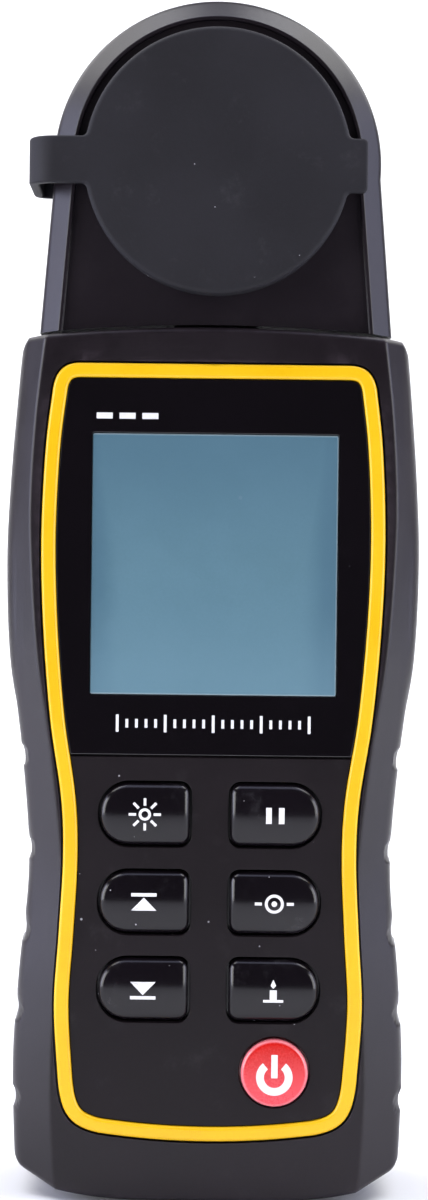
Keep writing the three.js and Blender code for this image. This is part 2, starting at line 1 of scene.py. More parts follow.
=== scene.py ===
"""Handheld light meter: the visible pieces, finishes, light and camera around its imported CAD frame.

Lengths in this file are millimetres until a mesh is made; X is to the right, Y to the back, Z up.
"""
import math

import bmesh
import bpy
import numpy as np
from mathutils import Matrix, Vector, bvhtree


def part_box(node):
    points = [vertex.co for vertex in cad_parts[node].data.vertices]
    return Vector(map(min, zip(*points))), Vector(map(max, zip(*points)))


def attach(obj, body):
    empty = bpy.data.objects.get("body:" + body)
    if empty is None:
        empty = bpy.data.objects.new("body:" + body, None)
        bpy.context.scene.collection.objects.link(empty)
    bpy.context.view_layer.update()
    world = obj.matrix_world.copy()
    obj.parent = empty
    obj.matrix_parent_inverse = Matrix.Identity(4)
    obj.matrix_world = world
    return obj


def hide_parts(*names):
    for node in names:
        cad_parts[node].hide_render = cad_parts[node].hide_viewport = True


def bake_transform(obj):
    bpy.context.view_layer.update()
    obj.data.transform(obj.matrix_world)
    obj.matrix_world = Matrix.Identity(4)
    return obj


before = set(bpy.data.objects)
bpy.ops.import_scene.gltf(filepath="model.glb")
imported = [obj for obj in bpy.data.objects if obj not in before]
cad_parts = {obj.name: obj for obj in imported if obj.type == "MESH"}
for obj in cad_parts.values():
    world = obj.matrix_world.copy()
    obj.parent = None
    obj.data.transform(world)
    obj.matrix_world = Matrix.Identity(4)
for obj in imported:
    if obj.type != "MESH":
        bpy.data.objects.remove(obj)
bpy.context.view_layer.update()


# ------------------------------------------------------------------ case shells
# The case is two ABS shells with a 2 mm wall, moulded with a fine spark texture, that meet on a
# parting line along the sides. The front has a broad bevel on each side and a shallow pocket for
# the trim band and plates; finger grooves cross both sides. Four screws hold the shells together.
MM = 0.001
WALL = 2.0
PARTING = 1.0
PARTING_GAP = 0.15
SIDE_PROFILE = [
    (-2, 28.6), (8, 29.45), (20, 29.75), (34, 29.0), (50, 27.65), (66, 28.85),
    (82, 30.85), (100, 31.5), (114, 30.9), (127, 29.4), (134, 28.4),
]
FINGER_GROOVES = (14.5, 27.5, 39.5, 52.0, 66.0)
GROOVE_RADIUS, GROOVE_DEPTH = 1.65, 0.4
GROOVE_ENDS = (-8.4, 6.0)            # depths between which a groove runs at full size
SIDE_FOOT, SIDE_HEAD = 6.8, 125.6    # where the side walls turn into the rounded corners
SEAM_RADIUS = 250.0                  # the case top is part of a large sphere
CASE_APEX = 130.7


def box_mm(node):
    low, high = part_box(node)
    return np.array(low) / MM, np.array(high) / MM


CASE_FRONT = box_mm("front_shell")[0][1]
CASE_BACK = box_mm("rear_shell")[1][1]


def spline(points, steps=12):
    """Catmull-Rom curve through 2D points, as an array of points along it."""
    given = [np.array(p, float) for p in points]
    ends = [given[0]] + given + [given[-1]]
    curve = []
    for before, a, b, after in zip(ends, ends[1:], ends[2:], ends[3:]):
        for t in np.linspace(0, 1, steps, endpoint=False):
            leave, arrive = (b - before) / 2, (after - a) / 2
            curve.append((2 * a - 2 * b + leave + arrive) * t ** 3
                         + (3 * b - 3 * a - 2 * leave - arrive) * t ** 2 + leave * t + a)
    return np.array(curve + [given[-1]])


side_curve = spline(SIDE_PROFILE)


def half_width(z):
    return np.interp(z, side_curve[:, 0], side_curve[:, 1])


def bezier(a, b, c, steps):
    t = np.linspace(0, 1, steps, endpoint=False)[:, None]
    return (1 - t) ** 2 * np.array(a) + 2 * t * (1 - t) * np.array(b) + t ** 2 * np.array(c)


foot_edge = np.vstack([
    [(0, 0)], bezier((10, 0), (17, 0.15), (22.4, 1.45), 12),
    bezier((22.4, 1.45), (25.0, 2.6), (27.6, 3.75), 6),
    bezier((27.6, 3.75), (29.3, 4.5), (29.35, 6.8), 14), [(29.35, 6.8), (31, 10)],
])
shoulder_edge = np.vstack([
    [(0, 200), (26.3, 140)], bezier((26.4, 129.9), (29.1, 129.2), (29.7, 125.6), 16),
    [(29.7, 125.6), (31, 120)],
])


def seam_height(x, y, apex):
    return apex - (x * x + y * y) / (2 * SEAM_RADIUS)


def foot_height(x):
    return np.interp(np.abs(x), foot_edge[:, 0], foot_edge[:, 1])


def shoulder_height(x, y):
    corner = np.interp(np.abs(x), shoulder_edge[:, 0], shoulder_edge[:, 1])
    return np.minimum(corner, seam_height(x, y, CASE_APEX))


def rounded(corners, fillets, spans, arc=5):
    """Open outline through corners: each inner corner is eased over its fillet length."""
    points = [np.array(c, float) for c in corners]
    line, start = [], points[0]
    for i in range(1, len(points)):
        last = i == len(points) - 1
        stop = points[i]
        if not last:
            into, out = points[i - 1] - points[i], points[i + 1] - points[i]
            stop = points[i] + into / np.linalg.norm(into) * fillets[i - 1]
            leave = points[i] + out / np.linalg.norm(out) * fillets[i - 1]
        line += [start + (stop - start) * k / spans[i - 1] for k in range(spans[i - 1])]
        if not last:
            line += list(bezier(stop, points[i], leave, arc))
            start = leave
    return np.array(line + [points[-1]])


def mirrored(right):
    return right + [(-x, y) for x, y in reversed(right)]


def front_section(z, shrink):
    edge, front = half_width(z) - shrink, CASE_FRONT + shrink
    bevel = 4.1 + 2.8 * max(0.0, (100 - z) / 100) - 0.5 * shrink
    right = [(edge, PARTING - PARTING_GAP), (edge - 0.35, front + 5.4 - 0.5 * shrink),
             (edge - bevel, front)]
    return rounded(mirrored(right), (1.5, 0.42, 0.42, 1.5), (5, 18, 36, 18, 5))


def rear_section(z, shrink):
    edge, back = half_width(z) - shrink, CASE_BACK - shrink
    right = [(edge, PARTING + PARTING_GAP), (edge - 0.6, back)]
    return rounded(mirrored(right), (7.0, 7.0), (6, 36, 6), arc=12)


def shell_rows(section, shrink, fillet):
    """Rows of points down one surface of a shell, from the middle of its top to that of its foot."""
    rows = []

    def end_rows(z_side, top):
        height = (lambda x, y: shoulder_height(x, y) - shrink) if top else (
            lambda x, y: foot_height(x) + shrink)
        sign = -1 if top else 1
        made = []
        for angle in np.linspace(0, math.pi / 2, 5)[1:]:
            x, y = section(z_side, shrink + fillet * (1 - math.cos(angle))).T
            made.append((x, y, height(x, y) + sign * fillet * (1 - math.sin(angle))))
        x, y = section(z_side, shrink + fillet).T
        reach = half_width(z_side) - 15
        flat = np.abs(x[np.argmin(np.abs(y - y[len(y) // 2]))])
        goal = np.clip(x * reach / flat, -reach, reach)
        for s in np.linspace(0, 1, 10)[1:]:
            across, deep = x + (goal - x) * s, y + (y[0] - y) * s
            made.append((across, deep, height(across, deep)))
        return made

    rows += end_rows(SIDE_HEAD, True)[::-1]
    near = [np.arange(z - 1.9, z + 1.95, 0.19) for z in FINGER_GROOVES]
    sides = np.unique(np.round(np.concatenate([np.linspace(SIDE_FOOT, SIDE_HEAD, 70)] + near), 2))
    sides = sides[(sides >= SIDE_FOOT) & (sides <= SIDE_HEAD)]
    for z_side in sides[np.insert(np.diff(sides) > 0.1, 0, True)][::-1]:
        x, y = section(z_side, shrink).T
        low = foot_height(x) + shrink + fillet
        high = shoulder_height(x, y) - shrink - fillet
        z = low + (high - low) * (z_side - SIDE_FOOT) / (SIDE_HEAD - SIDE_FOOT)
        if shrink == 0:
            x = x - np.sign(x) * groove_depth(x, y, z)
        rows.append((x, y, z))
    rows += end_rows(SIDE_FOOT, False)
    return np.array([np.column_stack(row) for row in rows])


def groove_depth(x, y, z):
    """How far the surface is pressed in where a round-ended finger groove crosses the side."""
    depth = np.zeros_like(z)
    beyond = np.maximum(0, np.maximum((GROOVE_ENDS[0] - y) / 1.3, (y - GROOVE_ENDS[1]) / 3.0))
    for middle in FINGER_GROOVES:
        inside = 1 - ((z - middle) / GROOVE_RADIUS) ** 2 - beyond ** 2
        depth = np.maximum(depth, GROOVE_DEPTH * np.sqrt(np.clip(inside, 0, None)))
    return np.where(np.abs(x) > 15, depth, 0)


def grid_faces(rows, columns, first=0, flip=False):
    faces = []
    for r in range(rows - 1):
        for c in range(columns - 1):
            a = first + r * columns + c
            quad = (a, a + 1, a + columns + 1, a + columns)
            faces.append(quad[::-1] if flip else quad)
    return faces


def grid_border(rows, columns):
    return ([r * columns for r in range(rows)]
            + [(rows - 1) * columns + c for c in range(1, columns)]
            + [r * columns + columns - 1 for r in range(rows - 2, -1, -1)]
            + list(range(columns - 2, 0, -1)))


def new_object(name, points, faces):
    """A mesh object from millimetre points: doubles merged and faces turned outward."""
    mesh = bpy.data.meshes.new(name)
    mesh.from_pydata([tuple(p) for p in np.asarray(points, float) * MM], [], faces)
    work = bmesh.new()
    work.from_mesh(mesh)
    bmesh.ops.remove_doubles(work, verts=work.verts, dist=2e-7)
    bmesh.ops.dissolve_degenerate(work, edges=work.edges, dist=1e-8)
    bmesh.ops.recalc_face_normals(work, faces=work.faces)
    work.to_mesh(mesh)
    work.free()
    made = bpy.data.objects.new(name, mesh)
    bpy.context.scene.collection.objects.link(made)
    return made


def apply_modifiers(thing):
    """Turns an object's evaluated shape into its plain mesh."""
    bpy.context.view_layer.update()
    evaluated = thing.evaluated_get(bpy.context.evaluated_depsgraph_get())
    mesh = bpy.data.meshes.new_from_object(evaluated)
    thing.modifiers.clear()
    thing.data = mesh
    return thing


def boolean(thing, tool, operation="DIFFERENCE"):
    step = thing.modifiers.new("step", "BOOLEAN")
    step.operation, step.solver, step.object = operation, "EXACT", tool
    apply_modifiers(thing)
    bpy.data.objects.remove(tool)
    return thing


def half_shell(name, section, fillet=0.9):
    """A closed shell half: outer and inner surfaces joined by a flat rim on the parting plane."""
    outer = shell_rows(section, 0, fillet)
    inner = shell_rows(section, WALL, 0.3)
    rows, columns = outer.shape[:2]
    count = rows * columns
    faces = grid_faces(rows, columns) + grid_faces(rows, columns, count, flip=True)
    border = grid_border(rows, columns)
    for a, b in zip(border, border[1:] + border[:1]):
        faces.append((a, b, b + count, a + count))
    return new_object(name, np.vstack([outer.reshape(-1, 3), inner.reshape(-1, 3)]), faces)


def prism(name, outline, y0, y1):
    """Closed solid over an outline drawn in X and Z, from one depth to another."""
    n = len(outline)
    points = [(x, y, z) for y in (y0, y1) for x, z in outline]
    faces = [tuple(range(n)), tuple(range(n, 2 * n))]
    faces += [(i, (i + 1) % n, n + (i + 1) % n, n + i) for i in range(n)]
    return new_object(name, points, faces)


def circle(x, z, radius, count=32):
    turn = np.linspace(0, 2 * math.pi, count, endpoint=False)
    return np.column_stack([x + radius * np.cos(turn), z + radius * np.sin(turn)])


def lathe(name, profile, axis, x=0.0, z=0.0, count=64, closed=False):
    """Turns a profile of (radius, distance) round a line parallel to Y or Z."""
    turn = np.linspace(0, 2 * math.pi, count, endpoint=False)
    points = []
    for radius, along in profile:
        for a, b in zip(radius * np.cos(turn), radius * np.sin(turn)):
            points.append((x + a, along, z + b) if axis == "y" else (x + a, b, along))
    faces, n = [], len(profile)
    for r in range(n if closed else n - 1):
        for i in range(count):
            j, s = (i + 1) % count, (r + 1) % n
            faces.append((r * count + i, r * count + j, s * count + j, s * count + i))
    return new_object(name, points, faces)


def merged(name, things):
    """Several separate closed solids as one object."""
    work = bmesh.new()
    for thing in things:
        work.from_mesh(thing.data)
        bpy.data.objects.remove(thing)
    mesh = bpy.data.meshes.new(name)
    work.to_mesh(mesh)
    work.free()
    made = bpy.data.objects.new(name, mesh)
    bpy.context.scene.collection.objects.link(made)
    return made


def offset(outline, distance):
    """Moves a closed outline's points outward (or inward, below zero) along their normals."""
    points = np.asarray(outline, float)
    along = np.roll(points, -1, 0) - np.roll(points, 1, 0)
    along /= np.linalg.norm(along, axis=1)[:, None]
    area = np.sum(points[:, 0] * np.roll(points[:, 1], -1) - np.roll(points[:, 0], -1) * points[:, 1])
    outward = np.column_stack([along[:, 1], -along[:, 0]]) * (1 if area > 0 else -1)
    return points + outward * np.broadcast_to(np.asarray(distance, float), len(points))[:, None]


def both_halves(right):
    """Closes a right-hand outline, given from top to bottom, with its mirror image."""
    left = [(-x, z) for x, z in reversed([tuple(p) for p in right])]
    points = [tuple(p) for p in right] + left
    return np.array([p for i, p in enumerate(points) if i == 0 or math.dist(p, points[i - 1]) > 1e-6])


BAND_TOP, BAND_BOTTOM = 124.7, 9.15
band_corner = [(20, BAND_TOP), (22.5, BAND_TOP), (23.75, 123.4), (24.05, 120.6)]
band_side = [(24.05, 120.6), (25, 112), (25.5, 99), (25.1, 86), (23.9, 72), (22.1, 60), (21.7, 51),
             (22.2, 40), (22.8, 29), (22.1, 18)]
band_foot = [(22.1, 18), (21.6, 12.8), (20.2, 11.1), (16, 10.25)]


def cubic(a, b, c, d, steps):
    t = np.linspace(0, 1, steps, endpoint=False)[:, None]
    a, b, c, d = (np.array(p, float) for p in (a, b, c, d))
    return ((1 - t) ** 3 * a + 3 * t * (1 - t) ** 2 * b + 3 * t ** 2 * (1 - t) * c + t ** 3 * d)


band = both_halves(np.vstack([
    [(x, BAND_TOP) for x in range(0, 20, 2)], cubic(*band_corner, 12), spline(band_side, 8)[:-1],
    cubic(*band_foot, 12), bezier((16, 10.25), (8, BAND_BOTTOM), (0, BAND_BOTTOM), 8),
    [(0, BAND_BOTTOM)],
]))

key_names = ("key_light", "key_hold", "key_max", "key_lux", "key_min", "key_fc")


def key_outline(node, grow=0.0, count=12):
    """D-shaped outline of a key: nearly half-round outside, small corners towards the middle."""
    low, high = box_mm(node)
    flange = 0.9
    centre = (low + high) / 2
    w, h = (high[0] - low[0]) / 2 - flange + grow, (high[2] - low[2]) / 2 - flange + grow
    side = math.copysign(1, centre[0])
    outline = []
    for cx, cz, radius, start in ((1, -1, 4.3, -90), (1, 1, 4.3, 0), (-1, 1, 1.5, 90), (-1, -1, 1.5, 180)):
        radius += grow
        turn = np.radians(np.linspace(start, start + 90, count))
        outline.append(np.column_stack([cx * (w - radius) + radius * np.cos(turn),
                                        cz * (h - radius) + radius * np.sin(turn)]))
    straights = [np.linspace(a[-1], b[0], 12)[1:-1] for a, b in zip(outline, outline[1:] + outline[:1])]
    shape = np.vstack([part for pair in zip(outline, straights) for part in pair])
    return np.column_stack([centre[0] + side * shape[:, 0], centre[2] + shape[:, 1]])


POCKET_DEPTH = 1.3
lcd_low, lcd_high = box_mm("lcd_panel")
power_low, power_high = box_mm("power_key")
power_x, power_z = (power_low[0] + power_high[0]) / 2, (power_low[2] + power_high[2]) / 2
POWER_RADIUS = 5.0
GAP = 0.3


def rectangle(x0, x1, z0, z1, corner=0.0, steps=6):
    if corner <= 0:
        return np.array([(x0, z0), (x1, z0), (x1, z1), (x0, z1)])
    parts = []
    for cx, cz, start in ((x1 - corner, z0 + corner, -90), (x1 - corner, z1 - corner, 0),
                          (x0 + corner, z1 - corner, 90), (x0 + corner, z0 + corner, 180)):
        turn = np.radians(np.linspace(start, start + 90, steps))
        parts.append(np.column_stack([cx + corner * np.cos(turn), cz + corner * np.sin(turn)]))
    return np.vstack(parts)


def key_hole_tools(front, back):
    holes = [prism("hole", key_outline(name, GAP), front, back) for name in key_names]
    return holes + [prism("hole", circle(power_x, power_z, POWER_RADIUS + GAP, 48), front, back)]


front_shell = half_shell("front_shell_moulding", front_section)
boolean(front_shell, prism("pocket", offset(band, 0.46), CASE_FRONT - 3, CASE_FRONT + POCKET_DEPTH))
lcd_hole = rectangle(lcd_low[0] - GAP, lcd_high[0] + GAP, lcd_low[2] - GAP, lcd_high[2] + GAP)
boolean(front_shell, merged("apertures", key_hole_tools(CASE_FRONT - 3, -8)
                            + [prism("lcd_hole", lcd_hole, CASE_FRONT - 3, -8)]))

boolean(front_shell, lathe("pivot", [(0, 120), (6.7, 120), (6.7, 140), (0, 140)], "z"))

rear_shell = half_shell("rear_shell_moulding", rear_section)
boolean(rear_shell, lathe("pivot", [(0, 120), (6.7, 120), (6.7, 140), (0, 140)], "z"))
door_low, door_high = box_mm("battery_door")
doorway = rectangle(door_low[0] - GAP, door_high[0] + GAP, door_low[2] - GAP, door_high[2] + GAP, 1.2)
screw_nodes = [f"case_screw_{i}" for i in range(1, 5)]
wells = [prism("well", circle(*((box_mm(n)[0] + box_mm(n)[1]) / 2)[[0, 2]], 2.9), CASE_BACK - 3.4,
               CASE_BACK + 2) for n in screw_nodes]
boolean(rear_shell, prism("doorway", doorway, CASE_BACK - 5, CASE_BACK + 3))


def ring_prism(name, outer, inner, y0, y1):
    return boolean(prism(name, outer, y0, y1), prism("inside", inner, y0 - 1, y1 + 1))


door_ledge = ring_prism(
    "ledge", rectangle(door_low[0] - 2.2, door_high[0] + 2.2, door_low[2] - 2.2, door_high[2] + 2.6, 2),
    rectangle(door_low[0] + 0.8, door_high[0] - 0.8, door_low[2] + 0.8, door_high[2] - 0.8, 1),
    CASE_BACK - 4.2, CASE_BACK - 2 - GAP)
boolean(rear_shell, door_ledge, "UNION")
bosses = [prism("boss", circle(*((box_mm(n)[0] + box_mm(n)[1]) / 2)[[0, 2]], 3.5), PARTING + 0.2,
                CASE_BACK - 1) for n in screw_nodes]
boolean(rear_shell, merged("bosses", bosses), "UNION")
boolean(rear_shell, merged("wells", wells))


# The shared surface effects of the moulded parts: spark texture, uneven colour, dust, and rubbed edges, which
# also give a painted highlight along sharp convex edges.
def node_group(name, inputs, outputs):
    """An empty shader group: (name, default) inputs, output names, and its two end nodes."""
    group = bpy.data.node_groups.new(name, "ShaderNodeTree")
    for label, default in inputs:
        socket = group.interface.new_socket(label, in_out="INPUT", socket_type="NodeSocketFloat")
        socket.default_value = default
    for label in outputs:
        group.interface.new_socket(label, in_out="OUTPUT", socket_type="NodeSocketFloat")
    return group, group.nodes.new("NodeGroupInput"), group.nodes.new("NodeGroupOutput")


def put(tree, kind, settings=None, **inputs):
    """Adds a node: settings are its properties; inputs are values or sockets, by socket name."""
    node = tree.nodes.new(kind)
    for key, value in (settings or {}).items():
        setattr(node, key, value)
    for key, value in inputs.items():
        socket = node.inputs[int(key[1:]) if key[0] == "i" and key[1:].isdigit() else key.replace("_", " ")]
        if isinstance(value, bpy.types.NodeSocket):
            tree.links.new(value, socket)
        else:
            socket.default_value = value
    return node


def arithmetic(tree, operation, a, b=0.0, clamp=False):
    return put(tree, "ShaderNodeMath", {"operation": operation, "use_clamp": clamp}, i0=a, i1=b).outputs[0]


def remap(tree, value, low, high, to_low=0.0, to_high=1.0, smooth=True):
    kind = "SMOOTHSTEP" if smooth else "LINEAR"
    return put(tree, "ShaderNodeMapRange", {"interpolation_type": kind, "clamp": True}, i0=value, i1=low,
               i2=high, i3=to_low, i4=to_high).outputs[0]


def here(tree):
    return tree.nodes.new("ShaderNodeTexCoord").outputs["Object"]


def noise(tree, scale, detail=2.0, roughness=0.5):
    return put(tree, "ShaderNodeTexNoise", None, Vector=here(tree), Scale=scale, Detail=detail,
               Roughness=roughness).outputs[0]


spark_texture, ends, out = node_group("spark_texture", [("Grain mm", 0.2)], ["Height"])
grain_scale = arithmetic(spark_texture, "DIVIDE", 1000.0, ends.outputs["Grain mm"])
fine = noise(spark_texture, grain_scale, 3.0, 0.65)
coarse = noise(spark_texture, arithmetic(spark_texture, "MULTIPLY", grain_scale, 0.23), 2.0)
spark_texture.links.new(arithmetic(spark_texture, "ADD", fine, arithmetic(
    spark_texture, "MULTIPLY", coarse, 0.5)), out.inputs["Height"])

uneven_tone, ends, out = node_group("uneven_tone", [("Patch mm", 18.0)], ["Tone"])
patch_scale = arithmetic(uneven_tone, "DIVIDE", 1000.0, ends.outputs["Patch mm"])
patches = remap(uneven_tone, noise(uneven_tone, patch_scale, 3.0), 0.3, 0.7)
speckle = remap(uneven_tone, noise(uneven_tone, 2400.0, 2.0, 0.7), 0.25, 0.75)
uneven_tone.links.new(arithmetic(uneven_tone, "ADD", arithmetic(uneven_tone, "MULTIPLY", patches, 0.6),
                                 arithmetic(uneven_tone, "MULTIPLY", speckle, 0.4)), out.inputs["Tone"])

settled_dust, ends, out = node_group("settled_dust", [("Speck mm", 4.0), ("Amount", 0.5)], ["Mask"])
cells = put(settled_dust, "ShaderNodeTexVoronoi", {"feature": "F1"}, Vector=here(settled_dust),
            Scale=arithmetic(settled_dust, "DIVIDE", 1000.0, ends.outputs["Speck mm"]), Randomness=1.0)
lucky = put(settled_dust, "ShaderNodeSeparateColor", None, Color=cells.outputs["Color"]).outputs[0]
reach = arithmetic(settled_dust, "MULTIPLY", remap(settled_dust, lucky, 0.55, 1.0), 0.07)
specks = arithmetic(settled_dust, "LESS_THAN", cells.outputs["Distance"], reach)
haze = remap(settled_dust, noise(settled_dust, 190.0, 6.0, 0.7), 0.55, 0.85, 0.0, 0.05)
settled_dust.links.new(arithmetic(settled_dust, "MULTIPLY", arithmetic(
    settled_dust, "MAXIMUM", specks, haze), ends.outputs["Amount"], clamp=True), out.inputs["Mask"])

# Lighter colour on sharp convex edges: rubbed wear, and also a painted highlight along edges that catch the
# light.
rubbed_edges, ends, out = node_group("rubbed_edges", [("Amount", 0.5)], ["Mask"])
sharpness = rubbed_edges.nodes.new("ShaderNodeNewGeometry").outputs["Pointiness"]
crest = remap(rubbed_edges, sharpness, 0.505, 0.56)
broken = remap(rubbed_edges, noise(rubbed_edges, 420.0, 4.0, 0.65), 0.3, 0.62)
rubbed_edges.links.new(arithmetic(rubbed_edges, "MULTIPLY", arithmetic(
    rubbed_edges, "MULTIPLY", crest, broken), ends.outputs["Amount"], clamp=True), out.inputs["Mask"])


def use_group(tree, group, **values):
    node = tree.nodes.new("ShaderNodeGroup")
    node.node_tree = group
    for label, value in values.items():
        node.inputs[label.replace("_", " ")].default_value = value
    return node.outputs[0]


def mix(tree, factor, a, b):
    return put(tree, "ShaderNodeMix", {"data_type": "RGBA"}, i0=factor, i6=a, i7=b).outputs[2]


def colour(r, g, b):
    """Linear colour from display values out of 255."""
    shares = [c / 255 for c in (r, g, b)]
    return tuple(((c + 0.055) / 1.055) ** 2.4 if c > 10 / 255 else c / 12.92 for c in shares) + (1.0,)


def finish_material(name, dark, light, roughness, grain=0.2, depth=0.01, patch=18.0, dust=0.0,
                    dust_size=4.0, wear_and_highlight=0.0, spread=0.07, paint=None, **shader):
    """A moulded, painted or plated finish built from the shared surface effects."""
    material = bpy.data.materials.new(name)
    material.use_nodes = True
    tree = material.node_tree
    surface = tree.nodes["Principled BSDF"]
    tone = use_group(tree, uneven_tone, Patch_mm=patch)
    base = mix(tree, tone, colour(*dark), colour(*light))
    if paint:
        base = paint(tree, base)
    rough = remap(tree, tone, 0, 1, roughness - spread, roughness + spread, smooth=False)
    # Lighter sharp edges: rubbed wear together with a painted highlight.
    if wear_and_highlight:
        mask = use_group(tree, rubbed_edges, Amount=wear_and_highlight)
        base = mix(tree, mask, base, colour(*(min(255, c * 1.5 + 26) for c in light)))
    if dust:
        mask = use_group(tree, settled_dust, Speck_mm=dust_size, Amount=dust)
        base = mix(tree, mask, base, colour(196, 194, 200))
        rough = arithmetic(tree, "ADD", rough, arithmetic(tree, "MULTIPLY", mask, 0.3), clamp=True)
    tree.links.new(base, surface.inputs["Base Color"])
    tree.links.new(rough, surface.inputs["Roughness"])
    height = use_group(tree, spark_texture, Grain_mm=grain)
    bump = put(tree, "ShaderNodeBump", None, Height=height, Strength=1.0, Distance=depth * MM)
    tree.links.new(bump.outputs[0], surface.inputs["Normal"])
    for label, value in shader.items():
        surface.inputs[label.replace("_", " ")].default_value = value
    return material


def dress(thing, material, body, nodes=(), smooth=32, weighted=True):
    """Gives a finished piece its shading, material, body and the CAD nodes it shows."""
    thing.data.materials.clear()
    thing.data.materials.append(material)
    for face in thing.data.polygons:
        face.material_index = 0
        face.use_smooth = True
    thing.data.set_sharp_from_angle(angle=math.radians(smooth))
    if weighted:
        step = thing.modifiers.new("even_normals", "WEIGHTED_NORMAL")
        step.keep_sharp = True
        apply_modifiers(thing)
    if body:
        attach(thing, body)
    if nodes:
        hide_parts(*nodes)
    return thing


# On the case, the lighter rubbed edges are also a painted highlight along its bevel edges.
case_abs = finish_material("case_abs", (20, 15, 19), (29, 23, 28), 0.35, grain=0.16, depth=0.010,
                           dust=0.22, dust_size=7.0, wear_and_highlight=0.4, Specular_IOR_Level=0.34)
dress(front_shell, case_abs, "housing", ["front_shell"])
dress(rear_shell, case_abs, "housing", ["rear_shell"])


# ------------------------------------------------------------------ yellow trim band
# The trim is one thin ring of yellow ABS with a rounded crown, pressed into the pocket of the front
# shell. A dark gap shows on both sides of it.
BAND_OUT, BAND_IN = 0.15, 2.0         # band edges either side of the pocket outline


def shape_tree(name, inputs):
    """A geometry tree with named inputs, given as (name, socket kind, default)."""
    tree = bpy.data.node_groups.new(name, "GeometryNodeTree")
    tree.interface.new_socket("Geometry", in_out="INPUT", socket_type="NodeSocketGeometry")
    for label, kind, default in inputs:
        socket = tree.interface.new_socket(label, in_out="INPUT", socket_type="NodeSocket" + kind)
        if default is not None:
            socket.default_value = default
    tree.interface.new_socket("Geometry", in_out="OUTPUT", socket_type="NodeSocketGeometry")
    return tree, tree.nodes.new("NodeGroupInput").outputs, tree.nodes.new("NodeGroupOutput")


def close_tree(tree, shape, material, out):
    """Ends a geometry tree: instances made real, smooth faces and the given material."""
    real = put(tree, "GeometryNodeRealizeInstances", None, Geometry=shape)
    smooth = put(tree, "GeometryNodeSetShadeSmooth", None, i0=real.outputs[0])
    painted = put(tree, "GeometryNodeSetMaterial", None, Geometry=smooth.outputs[0], Material=material)
    tree.links.new(painted.outputs[0], out.inputs[0])


def grow(name, points, edges, tree, **values):
    """Runs a geometry tree on points (or a path through them) and keeps the result as a plain mesh."""
    mesh = bpy.data.meshes.new(name)
    mesh.from_pydata([tuple(p) for p in np.asarray(points, float) * MM], edges, [])
    made = bpy.data.objects.new(name, mesh)
    bpy.context.scene.collection.objects.link(made)
    step = made.modifiers.new("grow", "NODES")
    step.node_group = tree
    for item in tree.interface.items_tree:
        label = item.name.replace(" ", "_")
        if item.in_out == "INPUT" and label in values:
            step[item.identifier] = values[label]
    return apply_modifiers(made)


swept_bar, given, out = shape_tree("swept_bar", [
    ("Width", "Float", 0.001), ("Thickness", "Float", 0.001), ("Corner", "Float", 0.0002),
    ("Material", "Material", None)])
path = put(swept_bar, "GeometryNodeMeshToCurve", None, Mesh=given["Geometry"])
bar = put(swept_bar, "GeometryNodeCurvePrimitiveQuadrilateral", None, Width=given["Thickness"],
          Height=given["Width"])
eased = put(swept_bar, "GeometryNodeFilletCurve", {"mode": "POLY"}, Curve=bar.outputs[0],
            Radius=given["Corner"], Count=4)
swept = put(swept_bar, "GeometryNodeCurveToMesh", None, Curve=path.outputs[0],
            Profile_Curve=eased.outputs[0], Fill_Caps=True)
close_tree(swept_bar, swept.outputs[0], given["Material"], out)


def loop_edges(count, closed=True):
    return [(i, i + 1) for i in range(count - 1)] + ([(count - 1, 0)] if closed else [])


trim_yellow = finish_material("trim_yellow", (236, 184, 8), (243, 193, 14), 0.34, grain=0.12,
                              depth=0.003, dust=0.12, dust_size=6.0, patch=12.0)
band_low, band_high = box_mm("trim_band")
band_middle = offset(band, (BAND_OUT - BAND_IN) / 2)
band_path = [(x, (band_low[1] + band_high[1]) / 2, z) for x, z in band_middle]
trim_band = grow("trim_band_ring", band_path, loop_edges(len(band_path)), swept_bar,
                 Width=(BAND_OUT + BAND_IN) * MM, Thickness=(band_high[1] - band_low[1]) * MM,
                 Corner=0.5 * MM, Material=trim_yellow)
dress(trim_band, trim_yellow, "housing", ["trim_band"], smooth=60)


# ------------------------------------------------------------------ display window
# The window is a clear acrylic plate, printed black behind except for the viewing opening, glued in
# the pocket inside the trim band. Its polished front edge is slightly eased.
VIEW = (-18.15, 18.55, 75.5, 114.4)    # opening: left, right, bottom, top


def clipped(outline, low, high):
    """Keeps the part of a closed outline between two heights."""
    for level, keep in ((low, 1), (high, -1)):
        kept = []
        for (x0, z0), (x1, z1) in zip(outline, np.roll(outline, -1, 0)):
            inside = keep * (z0 - level) >= 0
            if inside:
                kept.append((x0, z0))
            if inside != (keep * (z1 - level) >= 0):
                kept.append((x0 + (x1 - x0) * (level - z0) / (z1 - z0), level))
        outline = np.array(kept)
    return outline


def bevelled(thing, width, segments=2, angle=40):
    step = thing.modifiers.new("bevel", "BEVEL")
    step.width, step.segments, step.limit_method = width * MM, segments, "ANGLE"
    step.angle_limit = math.radians(angle)
    return apply_modifiers(thing)


window_low, window_high = box_mm("display_window")
inside_band = offset(band, -BAND_IN - 0.14)
window = prism("window_plate", clipped(inside_band, window_low[2], window_high[2] + 1),
               window_low[1], window_high[1])
view_hole = rectangle(VIEW[0] - 0.1, VIEW[1] + 0.1, VIEW[2] - 0.1, VIEW[3] + 0.1, 0.35)
boolean(window, prism("view", view_hole, window_low[1] - 1, window_high[1] + 1))
bevelled(window, 0.14, 2, 50)
gloss_black = finish_material("window_black", (9, 6, 10), (12, 8, 13), 0.07, grain=0.5, depth=0.0004,
                              dust=0.10, dust_size=5.5, spread=0.02, Coat_Weight=0.6,
                              Coat_Roughness=0.03)
dress(window, gloss_black, "housing", ["display_window"])

